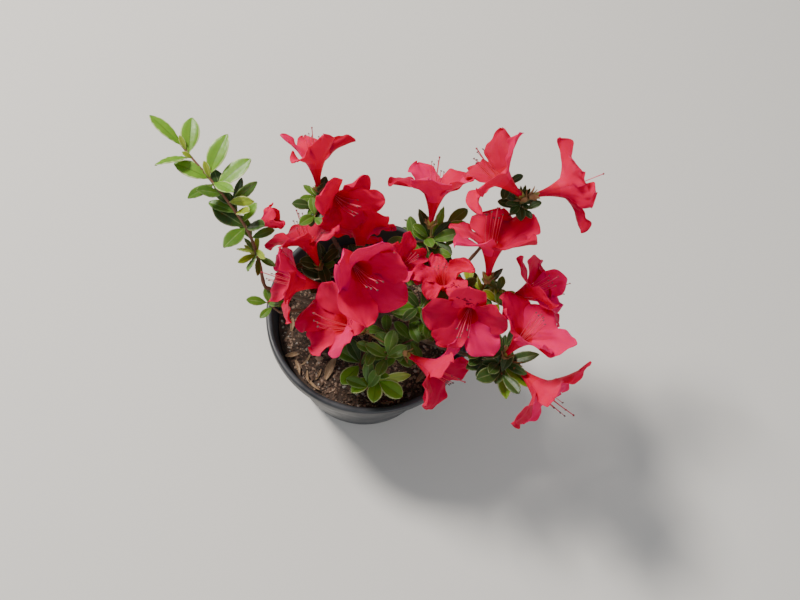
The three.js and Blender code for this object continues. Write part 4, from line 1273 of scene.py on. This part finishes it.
def tree_of(grid):
    """A search tree of a grid's faces."""
    faces = grid_faces(numbered(grid)).reshape(-1, 4)
    return BVHTree.FromPolygons(grid.reshape(-1, 3).tolist(), faces.tolist())


# Blossoms

# Half width of a petal's lobe in millimetres, from the throat (0) to its tip (1)
PETAL_OUTLINE = ((0, 8.8), (0.15, 11.0), (0.32, 13.0), (0.48, 14.0), (0.62, 13.8), (0.76, 12.0),
                 (0.87, 8.6), (0.94, 5.3), (1.0, 1.0))
PETAL_COLUMNS = np.linspace(-1, 1, 21)
TUBE_ROWS = 9
LOBE_ROWS = 26
TUBE_TAPER = 1.2
FUNNEL_OVERLAP = 0.74
UPPER_PETAL_WITHIN = 30
# How far up the lobes the petals are joined: on a blossom that has hardly opened, and on a wide one
JOINED_TO = (0.54, 0.25)
LAPPING_TILT = 5
LOBE_STRAIGHTNESS = 0.6
LEAST_BEND = 1e-3
# Degrees by which petals differ: their twist and sway in all, and the least and most curl of a tip
PETAL_TWIST = 16
PETAL_SWAY = 6
TIP_CURL = (-15, 30)
# Relief of a petal in millimetres
MARGIN_WAVE = 2.0
MARGIN_FRILL = 0.5
FOLD_RISE = 0.62
MIDRIB_CREASE = 0.5
PETAL_VEIN_RISE = 0.10


def blossom_frame(plan):
    """The blossom's own directions: upward across it, sideways, and along its axis."""
    axis = heading(plan["turn"], plan["lift"])
    sideways = unit(np.cross(axis, UP))
    return np.cross(sideways, axis), sideways, axis


def eased(shares):
    """0 below 0, 1 above 1, and a smooth step between."""
    shares = np.clip(shares, 0, 1)
    return shares * shares * (3 - 2 * shares)


def petal_shapes(plan, random):
    """The blossom's petals. Each leaves the throat at its slot, one of five evenly spaced, bends
    towards its own direction, and has small differences of its own."""
    listed = plan["petals"] or [(i * 360 / PETALS, plan["open_to"]) for i in range(PETALS)]
    shapes = [petal(*values) for values in listed]
    phase = sum(shape["around"] - i * 360 / PETALS for i, shape in enumerate(shapes)) / PETALS
    funnel_open = sum(shape["open_to"] for shape in shapes) / PETALS
    for i, shape in enumerate(shapes):
        shape["slot"] = phase + i * 360 / PETALS
        shape["funnel_open"] = funnel_open
        shape["twist"] = PETAL_TWIST * (random() - 0.5)
        shape["sway"] = PETAL_SWAY * (random() - 0.5)
        shape["tip_curl"] = between(*TIP_CURL, random())
        shape["cup"] = 0.03 * (random() - 0.35)
        shape["crumple"] = plan["crumple"] * (0.7 + 0.6 * random())
        shape["phases"] = [2 * math.pi * random() for _ in range(7)]
    return shapes


def straightened(line, shares):
    """Values along a lobe, drawn towards the straight line between its two ends."""
    return between(line, between(line[0], line[-1], shares), LOBE_STRAIGHTNESS)


def tube_line():
    """Radius and height along the tube, up to the throat."""
    shares = steps_to(TUBE_ROWS)[:-1]
    widening = THROAT_RADIUS - TUBE_FOOT_RADIUS - TUBE_TAPER
    return TUBE_FOOT_RADIUS + TUBE_TAPER * shares + widening * shares**2.1, TUBE_LENGTH * shares


def lobe_line(shape, shares):
    """Radius and height along a lobe, which bends from the throat's lean to its own and curls at its
    tip."""
    open_to = between(shape["funnel_open"], shape["open_to"], eased(shares / 0.45))
    lean = between(THROAT_LEAN, open_to, np.minimum(1, shares * 1.15))
    lean = np.radians(lean + shape["tip_curl"] * np.maximum(0, (shares - 0.7) / 0.3) ** 1.5)
    step = PETAL_LENGTH * shape["long"] * np.diff(shares)
    radii = THROAT_RADIUS + np.concatenate([[0], np.cumsum(np.sin(lean[:-1]) * step)])
    heights = TUBE_LENGTH + np.concatenate([[0], np.cumsum(np.cos(lean[:-1]) * step)])
    return straightened(radii, shares), straightened(heights, shares)


def petal_half_width(shape, along, radii, scale):
    """A fifth of the tube, then of the funnel as far as the petals are joined, then the lobe."""
    spread = np.clip((shape["funnel_open"] - 60) / 40, 0, 1)
    joined = 1 - eased(along / between(*JOINED_TO, spread))
    tube_width = radii * math.pi / PETALS * 1.02
    funnel_width = np.where(along > 0, radii * FUNNEL_OVERLAP, tube_width)
    funnel_width = between(tube_width, funnel_width, eased(along / 0.12))
    lobe_width = outline_at(PETAL_OUTLINE, along) * scale * shape["wide"]
    return between(lobe_width, funnel_width, joined)


def petal_grid(plan, shape):
    """The middle surface of one petal with its fifth of the tube, from the foot to the tip, and how
    far up its lobe each row lies."""
    scale = plan["across"] / USUAL_WIDTH
    upward, sideways, axis = blossom_frame(plan)
    shares = 1 - (1 - steps_to(LOBE_ROWS)) ** 1.25
    along = np.concatenate([np.zeros(TUBE_ROWS), shares])
    radii, heights = (np.concatenate(part) * scale for part in zip(tube_line(), lobe_line(shape, shares)))
    slope = np.unwrap(np.arctan2(np.gradient(radii), np.gradient(heights)))
    lobe_bend = shape["roll"] / scale + shape["cup"]
    bend = between(lobe_bend, np.cos(slope) / np.maximum(radii, 1), 1 - eased(along / 0.5))
    bend = np.where(np.abs(bend) < LEAST_BEND, LEAST_BEND, bend)[:, None]
    around = np.radians(between(shape["slot"], shape["around"], along**2) + shape["sway"] * along**1.5)
    radial = np.cos(around)[:, None] * upward + np.sin(around)[:, None] * sideways
    side = -np.sin(around)[:, None] * upward + np.cos(around)[:, None] * sideways
    inward = np.sin(slope)[:, None] * axis - np.cos(slope)[:, None] * radial
    tilt = np.radians(LAPPING_TILT * eased(along / 0.15) + shape["twist"] * along**1.5)
    turned = side * np.cos(tilt)[:, None] + inward * np.sin(tilt)[:, None]
    inward = inward * np.cos(tilt)[:, None] - side * np.sin(tilt)[:, None]
    angle = PETAL_COLUMNS[None, :] * petal_half_width(shape, along, radii, scale)[:, None] * bend
    out = np.sin(angle) / bend
    rise = (1 - np.cos(angle)) / bend + petal_relief(shape, along) * scale
    middle = np.array(plan["foot"], float) + radial * radii[:, None] + axis * heights[:, None]
    return strip_grid(middle, turned, inward, out, rise), along


def petal_relief(shape, along):
    """How far a petal stands in or out, in millimetres: waves of its margins, folds, the crease over
    its midrib and fine veins."""
    along = along[:, None]
    place = PETAL_COLUMNS[None, :]
    edge = np.abs(place)
    one, two, three, four, five, six, seven = shape["phases"]
    free = eased(along / 0.6)
    side = place > 0
    waves = np.where(side, np.sin(11.5 * along + one), np.sin(9.5 * along + two))
    frill = np.where(side, np.sin(27 * along + three), np.sin(24 * along + four))
    margin = free * (MARGIN_WAVE * edge**2.6 * waves + MARGIN_FRILL * edge**6 * frill)
    folds = (np.sin(2.4 * place + 4.4 * along + five) + 0.55 * np.sin(-4.6 * place + 7.5 * along + six)
             + 0.25 * np.sin(8.5 * place + 12.0 * along + seven))
    sharp = np.maximum(0, shape["crumple"] - 1.4) * np.sin(15 * place + 19 * along + two)
    folds = free * FOLD_RISE * (shape["crumple"] * folds + 0.5 * sharp)
    crease = -MIDRIB_CREASE * np.exp(-(place / 0.11) ** 2) * eased(along / 0.3) * (1 - 0.5 * along)
    veins = PETAL_VEIN_RISE * np.cos(place * math.pi * 6.5 + 1.2 * along) * free * (1 - edge**4)
    return margin + folds + crease + veins


def fleck_chance(along, across):
    """How likely a dark fleck is on the upper petal: most just above the throat, near the midrib."""
    return 0.5 * max(0, 1 - abs(along - 0.3) / 0.34) * max(0, 1 - across / 0.62)


def add_petal(pile, shape, grid, along, tone, random):
    """A petal's skin, with its flushed tube and, on the upper petal, dark flecks."""
    inside = PETAL_LOOKS[tone]
    rows, columns = grid.shape[0] - 1, grid.shape[1] - 1
    top = np.full((rows, columns), inside)
    under = np.full((rows, columns), inside + 1)
    top[:TUBE_ROWS] = TUBE_LOOK
    under[:TUBE_ROWS - 2] = TUBE_LOOK
    from_top = abs((shape["around"] + 180) % 360 - 180)
    if from_top < UPPER_PETAL_WITHIN:
        for i in range(TUBE_ROWS, rows):
            for j in range(columns):
                if random() < fleck_chance(along[i], abs((j + 0.5) / columns - 0.5) * 2):
                    top[i, j] = FLECK_LOOK
    edge = 1 - 0.6 * np.abs(PETAL_COLUMNS) ** 6
    thickness = PETAL_THICKNESS * np.broadcast_to(edge, grid.shape[:2])
    add_sheet(pile, grid, thickness, top, under, inside + 1)


def thread_line(plan, length, sideways, rise, curve):
    """The line of a filament or style, which leaves the tube along the axis and then bends up."""
    scale = plan["across"] / USUAL_WIDTH
    upward, side, axis = blossom_frame(plan)
    foot = np.array(plan["foot"], float) + axis * 0.25 * TUBE_LENGTH * scale
    tip = np.array(plan["foot"], float) + scale * (upward * rise + side * sideways + axis * length)
    middle = (foot + tip) / 2 - upward * curve * scale + side * sideways * 0.2 * scale
    return spline([foot, middle, tip], steps_to(14))


def add_threads(pile, plan, random):
    """Style and stamens with their tips."""
    scale = plan["across"] / USUAL_WIDTH
    line = thread_line(plan, STYLE_LENGTH, 1.5 * (random() - 0.5), rise=6, curve=3.5)
    radius = FILAMENT_RADIUS * 1.2 * scale
    add_rod(pile, line, np.full(len(line), radius), STYLE_SIDES, FILAMENT)
    add_lump(pile, line[-1], np.full(3, 0.85 * scale), 0, random, STYLE_TIP, jitter=0.1)
    for i in range(STAMENS):
        spread = (i - (STAMENS - 1) / 2) * STAMEN_SPACING + 1.5 * (random() - 0.5)
        length = STAMEN_LENGTH * (0.9 + 0.2 * random())
        rise = -6 + 5 * abs(i - 2) * random() + 2 * random()
        line = thread_line(plan, length, spread, rise, curve=2.5 + 2 * random())
        radii = np.linspace(FILAMENT_RADIUS, 0.7 * FILAMENT_RADIUS, len(line)) * scale
        add_rod(pile, line, radii, THREAD_SIDES, FILAMENT)
        add_lump(pile, line[-1], np.array((0.95, 0.6, 0.6)) * scale, ANY_TURN * random(), random, ANTHER,
                 jitter=0.12)


def add_calyx(pile, plan, random):
    """Five small green lobes round the tube's foot, and papery bud scales below them."""
    scale = plan["across"] / USUAL_WIDTH
    upward, sideways, axis = blossom_frame(plan)
    foot = np.array(plan["foot"], float)
    for ring, (count, long, wide, look) in enumerate(CALYX_RINGS):
        for i in range(count):
            turn = 2 * math.pi * (i + 0.3 * ring) / count + 0.5 * random()
            radial = math.cos(turn) * upward + math.sin(turn) * sideways
            side = np.cross(axis, radial)
            shares = steps_to(6)
            flare = 0.25 + 0.35 * ring + 0.2 * random()
            start = foot - axis * (1.5 + 2.5 * ring) * scale
            radii = TUBE_FOOT_RADIUS + 0.3 + flare * long * shares**1.6
            middle = start + (axis * (shares * long)[:, None] + radial * radii[:, None]) * scale
            half = wide * np.sin(math.pi * np.clip(shares * 0.92 + 0.08, 0, 1)) ** 0.7 * scale + 0.05
            columns = np.linspace(-1, 1, 5)
            grid = (middle[:, None] + side * (half[:, None] * columns)[..., None]
                    - radial * (0.35 * half[:, None] * columns**2)[..., None])
            add_sheet(pile, grid[:, ::-1], 0.3, look, look, look)


# Growth of one mass

# The least and most lift in degrees of a leaf in a whorl and along a shoot, and of a twig, and
# how far a twig reaches
WHORL_LIFT = (6, 38)
LEAF_LIFT = (8, 42)
TWIG_LIFT = (15, 40)
TWIG_REACH = (14, 24)
FINE_TWIG_LIFT = (5, 50)
FINE_TWIG_REACH = (8, 17)
TWIG_WHORL = 5
FINE_LEAF_SIZE = 0.85


def stem_of(plan, limb):
    """The points that a mass's stem runs through, and stations along it."""
    first = limb.tip + limb.direction * CLEARANCE
    second = first + limb.direction * 3
    points = [first, second, *np.array(plan["route"], float)]
    return points, spline(points, steps_to(3 * len(plan["route"])))


def whorl(stations, count, sizes, random, spin):
    """Leaves round the end of a shoot: the root, turn, lift and length of each."""
    leaves = []
    for i in range(count):
        length = between(*sizes, random())
        root = spot_along(stations, length_of(stations) - LEAF_JOINT * (1 + 1.2 * i))
        leaves.append((root, spin + i * TURN_BETWEEN_LEAVES, between(*WHORL_LIFT, random()), length))
    return leaves


def leaves_along(stations, count, sizes, random, spin):
    """Leaves along a shoot, as whorl gives them."""
    leaves = []
    for i in range(count):
        turn = spin + i * TURN_BETWEEN_LEAVES + 20 * random()
        length = between(*sizes, random())
        root = spot_along(stations, length_of(stations) * (i + 0.7) / (count + 0.4))
        leaves.append((root, turn, between(*LEAF_LIFT, random()), length))
    return leaves


def is_hit(tree, start, end):
    """Whether a surface lies between the start of a twig and its end."""
    way = end - start
    distance = np.linalg.norm(way)
    hit = tree.ray_cast(Vector(start + way * 0.15), Vector(way / distance), distance * 0.85)
    return hit[0] is not None


def grow_shoots(plan, stem, petals_tree, random):
    """Side twigs and leaves by the source's rule. Returns lines with radii, and leaves by spray."""
    spin = 360 * random()
    sprays = [
        leaves_along(stem, plan["along"], plan["leaf"], random, spin),
        whorl(stem, plan["whorl"], plan["leaf"], random, spin),
    ]
    twigs = []
    for i in range(plan["twigs"]):
        start = spot_along(stem, length_of(stem) * (0.15 + 0.7 * (i + random()) / plan["twigs"]))
        turn = spin + 90 + i * TURN_BETWEEN_LEAVES + 30 * random()
        reach = between(*TWIG_REACH, random())
        end = start + heading(turn, between(*TWIG_LIFT, random())) * reach
        points = arched(start, end, 1)
        # Drawn before the test, so that a twig left out changes nothing after it
        tip_leaves = whorl(spline(points, steps_to(2)), TWIG_WHORL, plan["leaf"], random, turn)
        if is_hit(petals_tree, start, end):
            continue
        twigs.append((points, TWIG_RADIUS * 0.75, TWIG_RADIUS * 0.55))
        sprays.append(tip_leaves)
    return twigs, sprays


def grow_fine_shoots(plan, stem, twigs, petals_tree, space, random):
    """Finer twigs with smaller leaves, on the stem and its side twigs, kept within the mass's space."""
    lines = [stem] + [spline(points, steps_to(4)) for points, _, _ in twigs]
    fine_twigs = []
    sprays = []
    sizes = [FINE_LEAF_SIZE * size for size in plan["leaf"]]
    for i in range(plan["fine"] * 2):
        line = lines[i % len(lines)]
        start = spot_along(line, length_of(line) * (0.1 + 0.8 * random()))
        turn = 360 * random()
        reach = between(*FINE_TWIG_REACH, random())
        end = start + heading(turn, between(*FINE_TWIG_LIFT, random())) * reach
        leaves = whorl(np.array((start, end)), 3 + int(2 * random()), sizes, random, turn + 60)
        inside = np.all(end > space[0]) and np.all(end < space[1])
        if not inside or is_hit(petals_tree, start, end):
            continue
        fine_twigs.append((arched(start, end, 0.8), FINE_TWIG_RADIUS, 0.7 * FINE_TWIG_RADIUS))
        sprays.append(leaves)
    return fine_twigs, sprays


# More turn and lift in degrees for each try at placing a leaf
LEAF_TRIES = ((0, 0), (14, 12), (-14, 10), (26, -8), (-26, 22))


def place_leaf(leaf, shape, petals_tree, kept, space):
    """The leaf's middle surface, turned a little if need be until it crosses nothing."""
    root, turn, lift, length = leaf
    for turn_more, lift_more in LEAF_TRIES:
        grid = leaf_grid(root, turn + turn_more, lift + lift_more, length, shape)
        low = grid.min((0, 1))
        high = grid.max((0, 1))
        if np.any(low < space[0]) or np.any(high > space[1]):
            continue
        tree = tree_of(grid[2:])
        if petals_tree.overlap(tree):
            continue
        near = [other for other_low, other_high, other in kept
                if np.all(other_low < high) and np.all(other_high > low)]
        if any(other.overlap(tree) for other in near):
            continue
        kept.append((low, high, tree))
        return grid
    return None


def mass_space(name, margin=6):
    """The box within which a mass's finer growth stays, a little beyond its solid's."""
    low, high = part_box(f"foliage_{name}")
    return np.array(low) / MM - margin, np.array(high) / MM + margin


def add_twig(pile, points, thick, thin, look):
    """A twig or stalk that thins to its end, with swellings at its old leaf joints."""
    line = spline(points, steps_to(10))
    radii = np.linspace(thick, thin, len(line)) * (1 + leaf_scars(steps_to(10), 3, 0.2))
    add_rod(pile, line, radii, TWIG_SIDES, look)


def grow_blossoms(random):
    """Every mass's petals, with a search tree over them all."""
    piles = {}
    every_petal = Pile()
    for name, plan in MASSES.items():
        piles[name] = Pile()
        for blossom in plan["blossoms"]:
            grown = [(shape, *petal_grid(blossom, shape)) for shape in petal_shapes(blossom, random)]
            for shape, grid, along in grown:
                tone = PETAL_TONE_SHARES[int(len(PETAL_TONE_SHARES) * random())]
                add_petal(piles[name], shape, grid, along, tone, random)
                faces = grid_faces(numbered(grid)).reshape(-1, 4)
                every_petal.add(grid.reshape(-1, 3), 0, faces)
    corners = np.concatenate(every_petal.corners).tolist()
    return piles, BVHTree.FromPolygons(corners, face_list(every_petal))


def add_stem(pile, plan, points, limb):
    """The mass's own stem, which thins from its bough's tip."""
    line = spline(points, steps_to(12 * len(plan["route"]) + 8))
    radii = np.linspace(limb.radii[1], STEM_TIP_RADIUS, len(line))
    radii = radii * (1 + leaf_scars(steps_to(len(line) - 1), len(line) / 4, 0.2))
    add_rod(pile, line, radii, STEM_SIDES, YOUNG_BARK, bark_relief(STEM_RELIEF, 31))


def add_blossom_parts(wood, threads, blossom, stem, random):
    """The stalk of a blossom, the threads of one that is open, and its calyx."""
    foot = np.array(blossom["foot"], float)
    inside = foot + heading(blossom["turn"], blossom["lift"]) * 1.5
    stalk = arched(nearest_spot(stem, foot), inside, -1)
    add_twig(wood, stalk, STALK_RADIUS, 0.8 * STALK_RADIUS, GREEN_TWIG)
    if blossom["open_to"] > THREADS_SHOW_FROM:
        add_threads(threads, blossom, random)
    add_calyx(threads, blossom, random)


def leaves_of(plan, stem, sprays, random):
    """Each leaf of a mass, with its shape and green: first those by themselves, then the sprays."""
    for share, turn, lift, length, width, green in plan["leaves"]:
        root = spot_along(stem, length_of(stem) * share - LEAF_JOINT)
        yield (root, turn, lift, length), single_leaf_shape(length, width, random), green
    for spray in sprays:
        green = plan["greens"][0 if random() < FIRST_GREEN_SHARE else 1]
        for leaf in spray:
            yield leaf, leaf_shape(random), green


def make_masses(limbs):
    """Every mass's twigs, leaves, petals and threads, each kind as a piece of its own."""
    grown = seeded_random(SEED)
    detail = seeded_random(SEED + 3)
    petal_piles, petals_tree = grow_blossoms(seeded_random(SEED + 4))
    kept = []
    for name, plan in MASSES.items():
        space = mass_space(name)
        limb = limbs[plan["bough"]]
        points, stem = stem_of(plan, limb)
        twigs, sprays = grow_shoots(plan, stem, petals_tree, grown)
        fine_twigs, fine_sprays = grow_fine_shoots(plan, stem, twigs, petals_tree, space, detail)
        wood = Pile()
        leaves = Pile()
        threads = Pile()
        add_stem(wood, plan, points, limb)
        for twig in twigs:
            add_twig(wood, *twig, YOUNG_BARK)
        for twig in fine_twigs:
            add_twig(wood, *twig, GREEN_TWIG)
        for blossom in plan["blossoms"]:
            add_blossom_parts(wood, threads, blossom, stem, detail)
        for leaf, shape, green in leaves_of(plan, stem, sprays + fine_sprays, detail):
            grid = place_leaf(leaf, shape, petals_tree, kept, space)
            if grid is not None:
                add_leaf(leaves, grid, green)
        node = [f"foliage_{name}"]
        make_piece(f"twigs_{name}", wood, WOOD_MATERIALS, node, sharp_over=BARK_SHARP_OVER)
        make_piece(f"leaves_{name}", leaves, LEAF_MATERIALS, node)
        if plan["blossoms"]:
            make_piece(f"petals_{name}", petal_piles[name], PETAL_MATERIALS, node)
            make_piece(f"stamens_{name}", threads, THREAD_MATERIALS, node)


# Stage, in metres

FLOOR_REACH = 6.0
LIT_PLACE = (0, 0, 0.15)
# A key light high on the left and a little behind, and a broad fill in front: the place of each,
# its size, its power in watts and its colour
LIGHTS = (
    ("key", (-1.25, 0.58, 1.85), 0.5, 70, (1.0, 0.95, 0.89)),
    ("fill", (0.9, -1.6, 1.3), 1.8, 13, (0.93, 0.96, 1.0)),
)


def make_floor():
    """The level ground under the pot."""
    corners = [(x * FLOOR_REACH, y * FLOOR_REACH, 0) for x, y in ((-1, -1), (1, -1), (1, 1), (-1, 1))]
    mesh = bpy.data.meshes.new("floor")
    mesh.from_pydata(corners, [], [(0, 1, 2, 3)])
    material = bpy.data.materials.new("pale_floor")
    material.use_nodes = True
    set_inputs(material.node_tree, material.node_tree.nodes["Principled BSDF"], {
        "Base Color": (0.72, 0.70, 0.66, 1), "Roughness": 0.9})
    mesh.materials.append(material)
    floor = bpy.data.objects.new("floor", mesh)
    bpy.context.scene.collection.objects.link(floor)
    floor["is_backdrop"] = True


def add_area_light(name, place, size, power, colour):
    """A round lamp that faces the plant."""
    light = bpy.data.lights.new(name, "AREA")
    light.shape = "DISK"
    light.size = size
    light.energy = power
    light.color = colour
    lamp = bpy.data.objects.new(name, light)
    bpy.context.scene.collection.objects.link(lamp)
    lamp.location = place
    lamp.rotation_mode = "QUATERNION"
    lamp.rotation_quaternion = (Vector(LIT_PLACE) - Vector(place)).to_track_quat("-Z", "Y")


def make_lights():
    """The lamps and pale surroundings."""
    for lamp in LIGHTS:
        add_area_light(*lamp)
    world = bpy.data.worlds.new("studio")
    world.use_nodes = True
    set_inputs(world.node_tree, world.node_tree.nodes["Background"], {
        "Color": (0.92, 0.95, 1.0, 1), "Strength": 0.34})
    bpy.context.scene.world = world


# The camera looks down at the pot from in front, and is tilted a little to one side. Its place is
# in millimetres, its pitch and roll are in degrees.
CAMERA_PLACE = (21.7, -278, 802)
CAMERA_PITCH = 66.7
CAMERA_ROLL = 11.6
FOCAL_PIXELS = 900
PICTURE_WIDTH = 800
SENSOR_WIDTH = 36


def make_camera():
    """The camera at its place, with its pitch and roll."""
    pitch = math.radians(CAMERA_PITCH)
    roll = math.radians(CAMERA_ROLL)
    ahead = Vector((0, math.cos(pitch), -math.sin(pitch)))
    level_right = Vector((1, 0, 0))
    level_up = Vector((0, math.sin(pitch), math.cos(pitch)))
    right = level_right * math.cos(roll) + level_up * math.sin(roll)
    up = level_up * math.cos(roll) - level_right * math.sin(roll)
    data = bpy.data.cameras.new("camera")
    data.sensor_width = SENSOR_WIDTH
    data.lens = FOCAL_PIXELS * SENSOR_WIDTH / PICTURE_WIDTH
    data.clip_start = 0.01
    camera = bpy.data.objects.new("camera", data)
    bpy.context.scene.collection.objects.link(camera)
    turned = Matrix((right, up, -ahead)).transposed().to_4x4()
    camera.matrix_world = Matrix.Translation(Vector(CAMERA_PLACE) * MM) @ turned
    bpy.context.scene.camera = camera


make_camera()
make_lights()
make_floor()
make_pot()
make_potting_mix()
make_dry_leaves()
limbs = grow_limbs()
make_wood(limbs)
make_masses(limbs)

visual_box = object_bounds()
boxes = {"cad": cad_box, "visual": visual_box}
{name: [list(corner) for corner in box] for name, box in boxes.items()}
